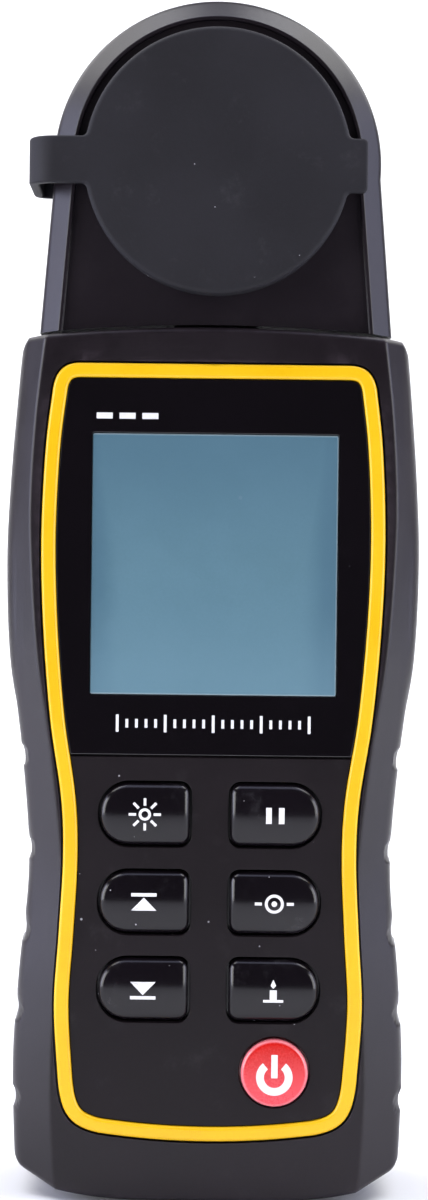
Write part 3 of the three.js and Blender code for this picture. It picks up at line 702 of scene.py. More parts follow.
# A short printed scale of fine ticks under the opening and three small bars above it, in the places
# where the real plate carries its printing.
bar_marks, given, out = shape_tree("bar_marks", [
    ("Width", "Float", 0.0004), ("Depth", "Float", 0.00005), ("Height", "Float", 0.001),
    ("Tall Every", "Int", 5), ("Tall Height", "Float", 0.002), ("Material", "Material", None)])
bar = put(bar_marks, "GeometryNodeMeshCube").outputs[0]
order = bar_marks.nodes.new("GeometryNodeInputIndex").outputs[0]
phase = put(bar_marks, "ShaderNodeMath", {"operation": "MODULO"}, i0=order, i1=given["Tall Every"])
tall = put(bar_marks, "ShaderNodeMath", {"operation": "LESS_THAN"}, i0=phase.outputs[0], i1=0.5)
height = put(bar_marks, "ShaderNodeMix", {"data_type": "FLOAT"}, i0=tall.outputs[0], i2=given["Height"],
             i3=given["Tall Height"]).outputs[0]
size = put(bar_marks, "ShaderNodeCombineXYZ", None, X=given["Width"], Y=given["Depth"], Z=height)
placed = put(bar_marks, "GeometryNodeInstanceOnPoints", None, Points=given["Geometry"], Instance=bar,
             Scale=size.outputs[0])
close_tree(bar_marks, placed.outputs[0], given["Material"], out)
print_white = finish_material("print_white", (226, 226, 230), (240, 240, 243), 0.45, grain=0.08,
                              depth=0.002, patch=3.0)
PRINT_Y = window_low[1] - 0.01
ticks = grow("scale_ticks", [(-14 + 28.6 * i / 20, PRINT_Y, 71.2) for i in range(21)], [], bar_marks,
             Width=0.42 * MM, Depth=0.05 * MM, Height=1.3 * MM, Tall_Every=5, Tall_Height=2.6 * MM,
             Material=print_white)
lamps = grow("range_marks", [(-16.4 + 3.4 * i, PRINT_Y, 117.0) for i in range(3)], [], bar_marks,
             Width=2.4 * MM, Depth=0.05 * MM, Height=0.9 * MM, Tall_Every=50, Tall_Height=0.9 * MM,
             Material=print_white)
for marks in (ticks, lamps):
    dress(marks, print_white, "housing", smooth=30)


# ------------------------------------------------------------------ liquid crystal display
# The display is a glass cell with a grey-green reflective film. Its polariser fills the window opening.
# Painted shade darkens the film towards its edges and top, it is painted lighter towards the bottom, and a
# thin pale line along the film's cut edges is a painted highlight.
def glass_cell():
    low, high = box_mm("lcd_panel")
    cell = prism("cell", rectangle(low[0], high[0], low[2], high[2]), low[1], high[1])
    film = prism("film", rectangle(*VIEW, 0.3), window_low[1] + 0.16, low[1] + 0.3)
    bevelled(film, 0.18, 2, 60)
    return boolean(cell, film, "UNION")


def display_painted_light(tree, base):
    """Painted shade and light on the film: painted shade towards its edges, top and a left band, painted
    light towards the bottom, and a painted highlight as a pale line along the cut edges.
    """
    spot = put(tree, "ShaderNodeSeparateXYZ", None, Vector=here(tree)).outputs
    x0, x1, z0, z1 = (v * MM for v in VIEW)
    # Painted shade: darker towards the side edges, in a wavering band at the left, and towards the top.
    wobble = noise(tree, 260.0, 2.0)
    left = arithmetic(tree, "ADD", arithmetic(tree, "SUBTRACT", spot[0], x0),
                      arithmetic(tree, "MULTIPLY", wobble, 0.0018))
    side = arithmetic(tree, "MINIMUM", left, arithmetic(tree, "SUBTRACT", x1, spot[0]))
    shade = remap(tree, side, 0.0012, 0.0056, 0.7, 0.0)
    top = remap(tree, arithmetic(tree, "SUBTRACT", z1, spot[2]), 0.0002, 0.022, 0.6, 0.0)
    shade = arithmetic(tree, "MAXIMUM", shade, top)
    base = mix(tree, shade, base, colour(74, 106, 124))
    # Painted light: lighter towards the bottom of the film.
    low = remap(tree, arithmetic(tree, "SUBTRACT", spot[2], z0), 0.0, 0.016, 0.45, 0.0)
    base = mix(tree, low, base, colour(112, 146, 162))
    # Painted highlight: a pale line along the cut edges at the right, bottom and top.
    rim = arithmetic(tree, "MINIMUM", arithmetic(tree, "SUBTRACT", x1, spot[0]),
                     arithmetic(tree, "MINIMUM", arithmetic(tree, "SUBTRACT", spot[2], z0),
                                arithmetic(tree, "SUBTRACT", z1, spot[2])))
    line = remap(tree, rim, 0.0, 0.00032, 0.85, 0.0)
    return mix(tree, line, base, colour(160, 178, 186))


display = glass_cell()
# The film's colour carries the painted shade, light and highlight of the paint function above.
display_glass = finish_material("display_glass", (91, 124, 138), (95, 129, 144), 0.16, grain=0.4,
                                depth=0.0006, patch=9.0, dust=0.05, paint=display_painted_light,
                                Coat_Weight=0.5, Coat_Roughness=0.05)
dress(display, display_glass, "housing", ["lcd_panel"])


# ------------------------------------------------------------------ keypad fascia
# The keypad surround is a moulded plate, glued below the window. It has six D-shaped holes and a
# round one, each with an eased edge.
fascia_low, fascia_high = box_mm("keypad_fascia")
fascia = prism("fascia_plate", clipped(inside_band, fascia_low[2] - 1, fascia_high[2]),
               fascia_low[1], fascia_high[1])
boolean(fascia, merged("holes", key_hole_tools(fascia_low[1] - 1, fascia_high[1] + 1)))
bevelled(fascia, 0.16, 3, 50)
fascia_plastic = finish_material("fascia_plastic", (19, 14, 17), (26, 20, 24), 0.36, grain=0.14,
                                 depth=0.005, dust=0.55, dust_size=2.7, Specular_IOR_Level=0.23)
dress(fascia, fascia_plastic, "housing", ["keypad_fascia"])


# ------------------------------------------------------------------ rubber keys
# The keys are gloss-coated silicone on one membrane: six black D-shaped domes and a round red one.
# Their skirts stop behind the fascia, and a white symbol is printed on each crown.
def stacked(name, rings):
    """Closed solid from matching outlines in X and Z, each with its depth (one, or one per point)."""
    count = len(rings[0][0])
    points = [(x, y, z) for ring, depth in rings
              for (x, z), y in zip(ring, np.broadcast_to(depth, count))]
    faces = [tuple(range(count)), tuple(range(len(points) - count, len(points)))]
    for r in range(len(rings) - 1):
        for i in range(count):
            a, b = r * count + i, r * count + (i + 1) % count
            faces.append((a, b, b + count, a + count))
    return new_object(name, points, faces)


def key_dome(name, ring_at, depth, flange_depth, edge_in=1.15, edge_drop=0.95, fall=(0.14, 0.5)):
    """A domed key from outline rings: flange, skirt, rounded shoulder and a smooth crown."""
    top = ring_at(-edge_in)
    low, high = top.min(axis=0), top.max(axis=0)
    centre, reach = (low + high) / 2, (high - low) / 2

    def crown(ring, drop=0.0):
        return ring, depth + (((ring - centre) / reach) ** 2 * fall).sum(axis=1) + drop

    rings = [(ring_at(0.9), flange_depth), (ring_at(0.9), flange_depth - 0.6),
             (ring_at(0.0), flange_depth - 0.6), crown(ring_at(0.0), edge_drop + 0.02)]
    for angle in np.linspace(0, math.pi / 2, 10)[1:]:
        rings.append(crown(ring_at(-edge_in * (1 - math.cos(angle))), edge_drop * (1 - math.sin(angle))))
    for s in (0.92, 0.82, 0.71, 0.59, 0.46, 0.32, 0.18, 0.05):
        rings.append(crown(centre + (top - centre) * s))
    return stacked(name, rings)


def strip(rows):
    """Quad patches between matching rows of points."""
    rows = [np.asarray(row, float) for row in rows]
    points, faces = np.vstack(rows), []
    n = len(rows[0])
    for r in range(len(rows) - 1):
        faces += [(r * n + i, r * n + i + 1, (r + 1) * n + i + 1, (r + 1) * n + i) for i in range(n - 1)]
    return points, faces


def arc_stroke(x, z, inner, outer, start=0.0, stop=360.0):
    turn = np.radians(np.linspace(start, stop, 33))
    ray = np.column_stack([np.cos(turn), np.sin(turn)])
    return strip([np.array([x, z]) + ray * r for r in np.linspace(outer, inner, 3)])


def bar_stroke(x0, z0, x1, z1, width):
    start, stop = np.array([x0, z0]), np.array([x1, z1])
    across = np.array([z0 - z1, x1 - x0]) / np.linalg.norm(stop - start) * width / 2
    steps = np.linspace(0, 1, 7)[:, None]
    return strip([start + (stop - start) * steps + across * k for k in (-1, 0, 1)])


def fan(corners):
    """A filled convex shape as rings around its middle."""
    loop = []
    for a, b in zip(corners, corners[1:] + corners[:1]):
        loop += [np.array(a) + (np.array(b) - np.array(a)) * k / 6 for k in range(6)]
    loop = np.array(loop + loop[:1])
    middle = loop[:-1].mean(axis=0)
    return strip([middle + (loop - middle) * s for s in (1, 0.66, 0.33, 0.001)])


sun = [arc_stroke(0, 0, 0.5, 0.92)] + [
    bar_stroke(1.3 * math.cos(a), 1.3 * math.sin(a), 2.4 * math.cos(a), 2.4 * math.sin(a), 0.4)
    for a in np.radians(range(0, 360, 45))]
pause = [bar_stroke(x, -1.2, x, 1.2, 0.85) for x in (-0.95, 0.95)]
upper = [fan([(-1.9, -1.2), (1.9, -1.2), (0, 0.75)]), bar_stroke(-1.9, 1.15, 1.9, 1.15, 0.5)]
lower = [fan([(-1.9, 1.2), (0, -0.75), (1.9, 1.2)]), bar_stroke(-1.9, -1.15, 1.9, -1.15, 0.5)]
lamp = [arc_stroke(0, 0, 0.98, 1.42), arc_stroke(0, 0, 0.02, 0.42),
        bar_stroke(-2.9, 0, -1.85, 0, 0.45), bar_stroke(1.85, 0, 2.9, 0, 0.45)]
candle = [bar_stroke(0, -1.45, 0, 0.2, 1.05), fan([(-0.42, 0.85), (0, 0.42), (0.42, 0.85), (0, 1.75)]),
          bar_stroke(-1.5, -1.45, 1.5, -1.45, 0.4)]
symbols = {"key_light": sun, "key_hold": pause, "key_max": upper, "key_lux": lamp, "key_min": lower,
           "key_fc": candle}
power_symbol = [arc_stroke(0, -0.55, 1.55, 2.72, 129, 411), bar_stroke(0, -0.65, 0, 2.8, 0.95)]


def printed_symbol(name, strokes, x, z, crown):
    """Strokes laid on a key's crown, standing 0.03 mm proud of it."""
    bpy.context.view_layer.update()
    tree = bvhtree.BVHTree.FromObject(crown, bpy.context.evaluated_depsgraph_get())
    points, faces = [], []
    for flat, quads in strokes:
        start = len(points)
        for px, pz in flat + np.array([x, z]):
            hit = tree.ray_cast(Vector((px * MM, -0.03, pz * MM)), Vector((0, 1, 0)))[0]
            points.append((px, hit.y / MM - 0.03, pz))
        count = len(flat)
        points += [(px, py + 0.12, pz) for px, py, pz in points[start:start + count]]
        quads = [tuple(start + i for i in q) for q in quads]
        faces += quads + [tuple(i + count for i in reversed(q)) for q in quads]
        edges = {}
        for q in quads:
            for a, b in zip(q, q[1:] + q[:1]):
                edges[(min(a, b), max(a, b))] = edges.get((min(a, b), max(a, b)), []) + [(a, b)]
        for uses in edges.values():
            if len(uses) == 1:
                a, b = uses[0]
                faces.append((b, a, a + count, b + count))
    return new_object(name, points, faces)


key_gloss = finish_material("key_gloss", (13, 10, 14), (17, 13, 18), 0.17, grain=0.3, depth=0.0015,
                            dust=0.9, dust_size=1.8, spread=0.04, Specular_IOR_Level=0.42)
symbol_white = finish_material("symbol_white", (232, 230, 232), (246, 245, 246), 0.42, grain=0.1,
                               depth=0.002, patch=2.0)
for node in key_names:
    low, high = box_mm(node)
    dome = key_dome(node + "_cap", lambda g, n=node: key_outline(n, g), low[1], high[1])
    mark = printed_symbol(node + "_symbol", symbols[node], (low[0] + high[0]) / 2,
                          (low[2] + high[2]) / 2, dome)
    dress(dome, key_gloss, node, [node], smooth=50)
    dress(mark, symbol_white, node, smooth=50)


def power_painted_light(tree, base):
    """Painted highlight as a paler pink line round the shoulder, and painted reflection as a softer, lighter
    red towards the lower edge.
    """
    spot = put(tree, "ShaderNodeSeparateXYZ", None, Vector=here(tree)).outputs
    x = arithmetic(tree, "SUBTRACT", spot[0], power_x * MM)
    z = arithmetic(tree, "SUBTRACT", spot[2], power_z * MM)
    away = arithmetic(tree, "SQRT", arithmetic(tree, "ADD", arithmetic(tree, "MULTIPLY", x, x),
                                               arithmetic(tree, "MULTIPLY", z, z)))
    # Painted reflection: lighter red towards the lower edge.
    base = mix(tree, remap(tree, z, 0.004, -0.005), base, colour(236, 66, 80))
    # Painted highlight: a paler pink line round the shoulder.
    edge = arithmetic(tree, "MULTIPLY", remap(tree, away, 0.00445, 0.00478), 0.6)
    return mix(tree, edge, base, colour(246, 150, 160))


# The key's red carries the painted highlight and painted reflection of the paint function above.
key_red = finish_material("key_red", (204, 21, 15), (213, 28, 21), 0.28, grain=0.3, depth=0.002,
                          dust=0.15, dust_size=2.6, paint=power_painted_light, Coat_Weight=0.4,
                          Coat_Roughness=0.15)
power_dome = key_dome("power_key_cap", lambda g: circle(power_x, power_z, POWER_RADIUS + g, 64),
                      power_low[1], power_high[1], edge_in=0.7, edge_drop=0.6, fall=(0.16, 0.16))
power_mark = printed_symbol("power_key_symbol", power_symbol, power_x, power_z, power_dome)
dress(power_dome, key_red, "power_key", ["power_key"], smooth=50)
dress(power_mark, symbol_white, "power_key", smooth=50)


# ------------------------------------------------------------------ boards and parts behind the plates
# Under the plates are the display frame and light guide, a conductive strip, the key mat with its
# snap domes and the green main board. A chip, a buzzer, the sensor socket and rows of small parts
# are soldered on the board's back.
def carried(material, *nodes):
    """Gives CAD pieces that are already the right shape their finished material."""
    for node in nodes:
        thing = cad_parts[node]
        thing = bpy.data.objects[thing] if isinstance(thing, str) else thing
        for slot in thing.material_slots:
            slot.material = material


frame_plastic = finish_material("frame_plastic", (34, 32, 36), (44, 42, 46), 0.5, grain=0.2, depth=0.01)
guide_acrylic = finish_material("guide_acrylic", (214, 222, 226), (230, 236, 240), 0.2, grain=0.5,
                                depth=0.001, patch=6.0, Coat_Weight=0.4)
key_mat = finish_material("key_mat", (118, 121, 128), (138, 141, 148), 0.66, grain=0.3, depth=0.012,
                          dust=0.2)
chip_black = finish_material("chip_black", (22, 22, 25), (32, 32, 35), 0.42, grain=0.1, depth=0.006)
socket_white = finish_material("socket_white", (214, 211, 198), (228, 226, 214), 0.4, grain=0.15,
                               depth=0.004)


def board_paint(tree, base):
    """Solder mask with copper tracks showing as paler green lines."""
    spot = put(tree, "ShaderNodeMapping", None, Vector=here(tree), Scale=(1.0, 1.0, 1.0))
    bricks = put(tree, "ShaderNodeTexBrick", {"offset": 0.37, "squash": 1.7}, Vector=spot.outputs[0],
                 Color1=(0, 0, 0, 1), Color2=(0, 0, 0, 1), Mortar=(1, 1, 1, 1), Scale=160.0)
    bricks.inputs["Mortar Size"].default_value = 0.018
    turned = put(tree, "ShaderNodeMapping", None, Vector=here(tree), Rotation=(math.pi / 2, 0, 0))
    tree.links.new(turned.outputs[0], bricks.inputs["Vector"])
    return mix(tree, arithmetic(tree, "MULTIPLY", bricks.outputs["Color"], 0.7), base, colour(62, 140, 84))


solder_mask = finish_material("solder_mask", (18, 84, 42), (26, 100, 52), 0.3, grain=0.3, depth=0.002,
                              patch=9.0, paint=board_paint, Coat_Weight=0.3, Coat_Roughness=0.2)
bright_steel = finish_material("bright_steel", (186, 188, 194), (206, 208, 212), 0.28, grain=0.1,
                               depth=0.002, Metallic=1.0)
nickel_plate = finish_material("nickel_plate", (196, 190, 174), (216, 210, 194), 0.24, grain=0.08,
                               depth=0.002, wear_and_highlight=0.2, Metallic=1.0)

# A thin upstand inside each parting line, moulded with the shells, closes the joint to light.
LIP_INSET, LIP_THICK, LIP_DEPTH = WALL + 0.33, 0.55, 2.6


def locating_lip():
    """The thin upstand inside the parting line that closes the joint between the shells."""
    grid = shell_rows(front_section, LIP_INSET, 0.3)
    border = grid_border(*grid.shape[:2])
    points = []
    for x, _, z in grid.reshape(-1, 3)[border]:
        if not points or math.dist((x, PARTING, z), points[-1]) > 0.8:
            points.append((x, PARTING, z))
    return points


lip_points = locating_lip()
case_lip = grow("case_lip", lip_points, loop_edges(len(lip_points)), swept_bar,
                Width=LIP_THICK * MM, Thickness=LIP_DEPTH * MM, Corner=0.1 * MM, Material=frame_plastic)
dress(case_lip, frame_plastic, "housing", smooth=50)

carried(frame_plastic, "lcd_frame", "battery_tray", "swivel_tube")
carried(guide_acrylic, "backlight_guide")
carried(key_mat, "zebra_connector", "keypad_membrane")
carried(chip_black, "processor_chip", "buzzer", "photodiode")
carried(socket_white, "sensor_socket")
carried(solder_mask, "main_board", "sensor_board")
carried(bright_steel, "dome_sheet", "swivel_clip", "friction_washer")
carried(nickel_plate, "contact_strip_top", "contact_strip_bottom")

board_high = box_mm("main_board")[1]
small_parts, given, out = shape_tree("small_parts", [
    ("Length", "Float", 0.0016), ("Width", "Float", 0.0008), ("Height", "Float", 0.0005),
    ("Seed", "Int", 5), ("Material", "Material", None)])
block = put(small_parts, "GeometryNodeMeshCube").outputs[0]
size = put(small_parts, "ShaderNodeCombineXYZ", None, X=given["Length"], Y=given["Height"],
           Z=given["Width"]).outputs[0]
scaled = put(small_parts, "GeometryNodeTransform", None, Geometry=block, Scale=size).outputs[0]
quarter = put(small_parts, "FunctionNodeRandomValue", {"data_type": "INT"}, Seed=given["Seed"])
quarter.inputs[4].default_value, quarter.inputs[5].default_value = 0, 1
angle = put(small_parts, "ShaderNodeMath", {"operation": "MULTIPLY"}, i0=quarter.outputs[2],
            i1=math.pi / 2).outputs[0]
turn = put(small_parts, "ShaderNodeCombineXYZ", None, Y=angle).outputs[0]
spread = put(small_parts, "GeometryNodeInstanceOnPoints", None, Points=given["Geometry"],
             Instance=scaled, Rotation=turn)
close_tree(small_parts, spread.outputs[0], given["Material"], out)
sites = [(x, board_high[1] + 0.25, z) for x in (-16.5, -13, 9, 12.5, 16) for z in (78, 82, 86, 90, 94)]
resistors = grow("board_parts", sites, [], small_parts, Length=1.8 * MM, Width=0.9 * MM,
                 Height=0.5 * MM, Seed=11, Material=chip_black)
dress(resistors, chip_black, "housing", smooth=30)


# ------------------------------------------------------------------ batteries, contacts and door
# Three AAA cells in a shrunk plastic sleeve lie side by side in the tray. Conical nickel springs
# press on their flat ends, and a sliding door with a finger grip covers them at the back.
def sleeve_paint(tree, base):
    """A copper-coloured collar at one end of a black sleeve."""
    spot = put(tree, "ShaderNodeSeparateXYZ", None, Vector=here(tree)).outputs
    return mix(tree, remap(tree, spot[2], 0.0552, 0.0556), base, colour(186, 112, 52))


cell_sleeve = finish_material("cell_sleeve", (22, 22, 26), (30, 30, 34), 0.28, grain=0.4, depth=0.001,
                              paint=sleeve_paint, Coat_Weight=0.4, Coat_Roughness=0.1)
for i in range(1, 4):
    low, high = box_mm(f"cell_{i}")
    x, y = (low[0] + high[0]) / 2, (low[1] + high[1]) / 2
    r, up = (high[0] - low[0]) / 2 - 0.02, i != 2
    body = [(0, 0), (r - 1.1, 0), (r - 0.9, 0.25), (r - 0.5, 0.0), (r - 0.12, 0.12), (r, 0.5), (r, 42.9),
            (r - 0.12, 43.3), (r - 0.5, 43.42), (r - 1.2, 43.1), (1.95, 43.1), (1.85, 44.2), (1.6, 44.4),
            (0, 44.4)]
    flip = (lambda h: low[2] + h) if up else (lambda h: high[2] - h)
    sleeve = lathe(f"cell_sleeve_{i}", [(a, flip(h) ) for a, h in body], "z", x, 0, 48)
    for vertex in sleeve.data.vertices:
        vertex.co.y += y * MM
    dress(sleeve, cell_sleeve, "housing", [f"cell_{i}"])

coil_wire, given, out = shape_tree("coil_wire", [
    ("Turns", "Float", 3.5), ("Wide", "Float", 0.0034), ("Narrow", "Float", 0.0018),
    ("Height", "Float", 0.0025), ("Wire", "Float", 0.00035), ("Material", "Material", None)])
spiral = put(coil_wire, "GeometryNodeCurveSpiral", None, Resolution=28, Rotations=given["Turns"],
             Start_Radius=given["Wide"], End_Radius=given["Narrow"], Height=given["Height"])
round_wire = put(coil_wire, "GeometryNodeCurvePrimitiveCircle", None, Resolution=10,
                 Radius=given["Wire"])
coil = put(coil_wire, "GeometryNodeCurveToMesh", None, Curve=spiral.outputs[0],
           Profile_Curve=round_wire.outputs[0], Fill_Caps=True)
placed = put(coil_wire, "GeometryNodeInstanceOnPoints", None, Points=given["Geometry"],
             Instance=coil.outputs[0])
close_tree(coil_wire, placed.outputs[0], given["Material"], out)
for i in range(1, 4):
    low, high = box_mm(f"cell_spring_{i}")
    wire = 0.32
    up = i != 2
    base = low[2] + wire if up else high[2] - wire
    rise = (high[2] - low[2] - 2 * wire) * (1 if up else -1)
    spring = grow(f"spring_coil_{i}", [((low[0] + high[0]) / 2, (low[1] + high[1]) / 2, base)], [],
                  coil_wire, Turns=3.5, Wide=3.2 * MM, Narrow=1.9 * MM, Height=rise * MM,
                  Wire=wire * MM, Material=nickel_plate)
    dress(spring, nickel_plate, "housing", [f"cell_spring_{i}"], smooth=60)

door_outline = rectangle(door_low[0], door_high[0], door_low[2], door_high[2], 1.0)
door = bevelled(prism("door_plate", door_outline, door_low[1], door_high[1]), 0.35, 3, 60)
grips = []
for row in range(5):
    z = 61.5 + 1.7 * row
    half = 7.5 - 0.9 * row
    grips.append(prism("grip", rectangle(-half, half, z, z + 0.8, 0.4), door_high[1] - 0.45,
                       door_high[1] + 1))
boolean(door, merged("grips", grips))
door_abs = finish_material("door_abs", (21, 16, 20), (28, 22, 27), 0.35, grain=0.16, depth=0.010,
                           dust=0.22, dust_size=7.0, Specular_IOR_Level=0.34)
dress(door, door_abs, "battery_door", ["battery_door"], smooth=40)


# ------------------------------------------------------------------ screws
# Zinc-plated pan-head screws with a cross recess: four in the case wells, four on the board.
def screw_shape(name, head, rise, shank, length):
    """A screw pointing towards the front with the top of its head at the origin."""
    profile = [(0, -length), (shank * 0.4, -length), (shank, -length + 1.5), (shank, -rise),
               (head - 0.15, -rise),
               (head, -rise + 0.2), (head, -0.55), (head - 0.25, -0.2), (head - 0.8, -0.03), (0, 0)]
    made = lathe(name, profile, "y", count=40)
    arm = head * 0.56
    cross = merged("cross", [prism("a", rectangle(-arm, arm, -0.28, 0.28, 0.1), -0.9, 1)])
    boolean(made, cross)
    return boolean(made, prism("b", rectangle(-0.28, 0.28, -arm, arm, 0.1), -0.9, 1))


screws, given, out = shape_tree("screws", [("Screw", "Object", None), ("Seed", "Int", 3),
                                           ("Material", "Material", None)])
shape = put(screws, "GeometryNodeObjectInfo", None, Object=given["Screw"]).outputs["Geometry"]
spin = put(screws, "FunctionNodeRandomValue", {"data_type": "FLOAT"}, Seed=given["Seed"])
spin.inputs[2].default_value, spin.inputs[3].default_value = 0.0, 1.5
turn = put(screws, "ShaderNodeCombineXYZ", None, Y=spin.outputs[1]).outputs[0]
placed = put(screws, "GeometryNodeInstanceOnPoints", None, Points=given["Geometry"], Instance=shape,
             Rotation=turn)
close_tree(screws, placed.outputs[0], given["Material"], out)


def fit_screws(name, nodes, head, rise, shank, body):
    spots = []
    for node in nodes:
        low, high = box_mm(node)
        spots.append(((low[0] + high[0]) / 2, high[1], (low[2] + high[2]) / 2))
    shape = screw_shape("screw_shape", head, rise, shank, high[1] - low[1])
    made = grow(name, spots, [], screws, Screw=shape, Seed=7, Material=bright_steel)
    bpy.data.objects.remove(shape)
    dress(made, bright_steel, body, nodes, smooth=35)


fit_screws("case_screws", screw_nodes, 2.5, 1.8, 1.3, "housing")
fit_screws("board_screws", [f"board_screw_{i}" for i in range(1, 5)], 1.9, 1.2, 0.9, "housing")


# ------------------------------------------------------------------ sensor head shells
# The head is an arch-shaped case of its own, moulded in two halves in the same ABS. A wide bevel
# runs round the front, and its face is set back behind the bevel. Three screws hold the halves.
HEAD_CENTRE, HEAD_RADIUS, HEAD_FLARE, HEAD_BEVEL = 155.3, 24.7, math.radians(4.6), 3.0
HEAD_APEX = 131.15
PIVOT_RADIUS = 6.7
SENSOR_Z = 155.0
head_front = box_mm("head_front_shell")[0][1]
head_back = box_mm("head_rear_shell")[1][1]
HEAD_FACE = head_front + 0.6


def arch(inset):
    """Head outline: straight flared sides, run on below the seam, and a round top."""
    r = HEAD_RADIUS - inset
    turn = np.linspace(-HEAD_FLARE, math.pi + HEAD_FLARE, 97)
    points = np.column_stack([r * np.cos(turn), HEAD_CENTRE + r * np.sin(turn)])
    foot = points[0, 0] + (points[0, 1] - 120) * math.tan(HEAD_FLARE)
    return np.vstack([[foot, 120], points, [-foot, 120]])


def arch_solid(name, profile):
    return stacked(name, [(arch(inset), y) for inset, y in profile])


def under_dome(name, apex):
    """Everything below the shallow sphere that the case top and the head's underside share."""
    rings = [(r, seam_height(r, 0, apex)) for r in np.linspace(45, 0.5, 24)]
    return lathe(name, [(0, 100), (45, 100)] + rings + [(0, apex)], axis="z")


def head_half(name, outer, inner, floor=2.0):
    shell = boolean(arch_solid(name, outer), under_dome("below", HEAD_APEX))
    hollow = boolean(arch_solid("hollow", inner), under_dome("below", HEAD_APEX + floor))
    boolean(shell, hollow)
    boolean(shell, lathe("pivot", [(0, 120), (PIVOT_RADIUS, 120), (PIVOT_RADIUS, 140), (0, 140)], "z"))
    strap_low, strap_high = box_mm("cap_strap")
    slot = rectangle(-30, -19, strap_low[2] - GAP, strap_high[2] + GAP)
    return boolean(shell, prism("slot", slot, PARTING - 1.2, PARTING + 1.2))


half_gap = PARTING_GAP
front_edge = rounded([(0, PARTING - half_gap), (0, head_front + HEAD_BEVEL), (HEAD_BEVEL, head_front),
                      (HEAD_BEVEL + 0.5, head_front), (HEAD_BEVEL + 0.55, HEAD_FACE),
                      (HEAD_BEVEL + 3, HEAD_FACE)], (0.9, 0.16, 0.09, 0.12), (1, 3, 1, 1, 1), arc=5)
front_inner = [(WALL, PARTING - half_gap + 1), (WALL, head_front + 4.6), (4.5, HEAD_FACE + 2)]
head_shell_front = head_half("head_front_moulding", front_edge, front_inner)
sensor_hole = lathe("hole", [(0, -20), (14, -20), (14, HEAD_FACE - 0.1), (14, 0), (0, 0)], "y", 0,
                    SENSOR_Z, 96)
boolean(head_shell_front, sensor_hole)

head_screw_nodes = [f"head_screw_{i}" for i in range(1, 4)]
rear_edge = rounded([(0, PARTING + half_gap), (0, head_back - HEAD_BEVEL), (HEAD_BEVEL, head_back),
                     (HEAD_BEVEL + 3, head_back)], (0.9, 0.6), (1, 3, 1), arc=5)
rear_inner = [(WALL, PARTING + half_gap - 1), (WALL, head_back - 4.5), (4.5, head_back - 2)]
head_shell_rear = head_half("head_rear_moulding", rear_edge, rear_inner)


def at_screws(nodes, radius, y0, y1, count=32):
    spots = [((box_mm(n)[0] + box_mm(n)[1]) / 2)[[0, 2]] for n in nodes]
    return merged("posts", [prism("post", circle(x, z, radius, count), y0, y1) for x, z in spots])


boolean(head_shell_rear, at_screws(head_screw_nodes, 3.0, PARTING + half_gap, head_back - 1), "UNION")
boolean(head_shell_rear, at_screws(head_screw_nodes, 2.5, head_back - 2.8, head_back + 2))
head_abs = finish_material("head_abs", (22, 17, 22), (29, 23, 29), 0.35, grain=0.16, depth=0.010,
                           dust=0.22, dust_size=7.0, Specular_IOR_Level=0.36)
dress(head_shell_front, head_abs, "head", ["head_front_shell"])
dress(head_shell_rear, head_abs, "head", ["head_rear_shell"])

lip_path = [(x, PARTING, z) for x, z in arch(LIP_INSET)[1:-1]]
LIP_END = 133.4                        # height where the head's lip stops, clear of its floor
lip_path = [(lip_path[0][0] + 0.6, PARTING, LIP_END)] + lip_path + [
    (lip_path[-1][0] - 0.6, PARTING, LIP_END)]
head_lip = grow("head_lip", lip_path, loop_edges(len(lip_path), False), swept_bar,
                Width=LIP_THICK * MM, Thickness=LIP_DEPTH * MM, Corner=0.1 * MM, Material=head_abs)
dress(head_lip, head_abs, "head", smooth=50)


# ------------------------------------------------------------------ sensor under the cap
# A white opal dome spreads the light onto the photodiode. A ring moulding holds it in the head, with
# the green filter, foam seal, diode and small round board stacked behind it.
ring_low, ring_high = box_mm("sensor_bezel")
ring_profile = rounded([(14.0, ring_high[1]), (14.0, ring_low[1]), (17.5, ring_low[1]), (17.5, ring_high[1])],
                       (0.35, 0.8), (2, 4, 2), arc=5)
bezel = lathe("sensor_ring", ring_profile, "y", 0, SENSOR_Z, 96, closed=True)
ring_plastic = finish_material("ring_plastic", (34, 31, 36), (42, 38, 44), 0.38, grain=0.14, depth=0.006,
                               dust=0.15)
dress(bezel, ring_plastic, "head", ["sensor_bezel"])

dome_low = box_mm("diffuser")[0]
opal_profile = [(0, dome_low[1])] + [
    (13.6 * math.sin(a), dome_low[1] + 2.4 * (1 - math.cos(a)) / (1 - math.cos(1.25)))
    for a in np.linspace(0, 1.25, 16)[1:]]
opal_rim = opal_profile[-1][0]
opal_profile += [(opal_rim + 0.15, -11.3), (opal_rim + 0.15, -9.7), (16.2, -9.7), (16.2, -8.6), (0, -8.6)]
opal = lathe("opal_dome", opal_profile, "y", 0, SENSOR_Z, 96)
opal_plastic = finish_material("opal_plastic", (236, 236, 230), (244, 243, 238), 0.4, grain=0.1,
                               depth=0.002, patch=8.0, dust=0.05, Subsurface_Weight=0.35)
opal_plastic.node_tree.nodes["Principled BSDF"].inputs["Subsurface Radius"].default_value = (1.0, 0.95, 0.85)
opal_plastic.node_tree.nodes["Principled BSDF"].inputs["Subsurface Scale"].default_value = 0.002
dress(opal, opal_plastic, "head", ["diffuser"])


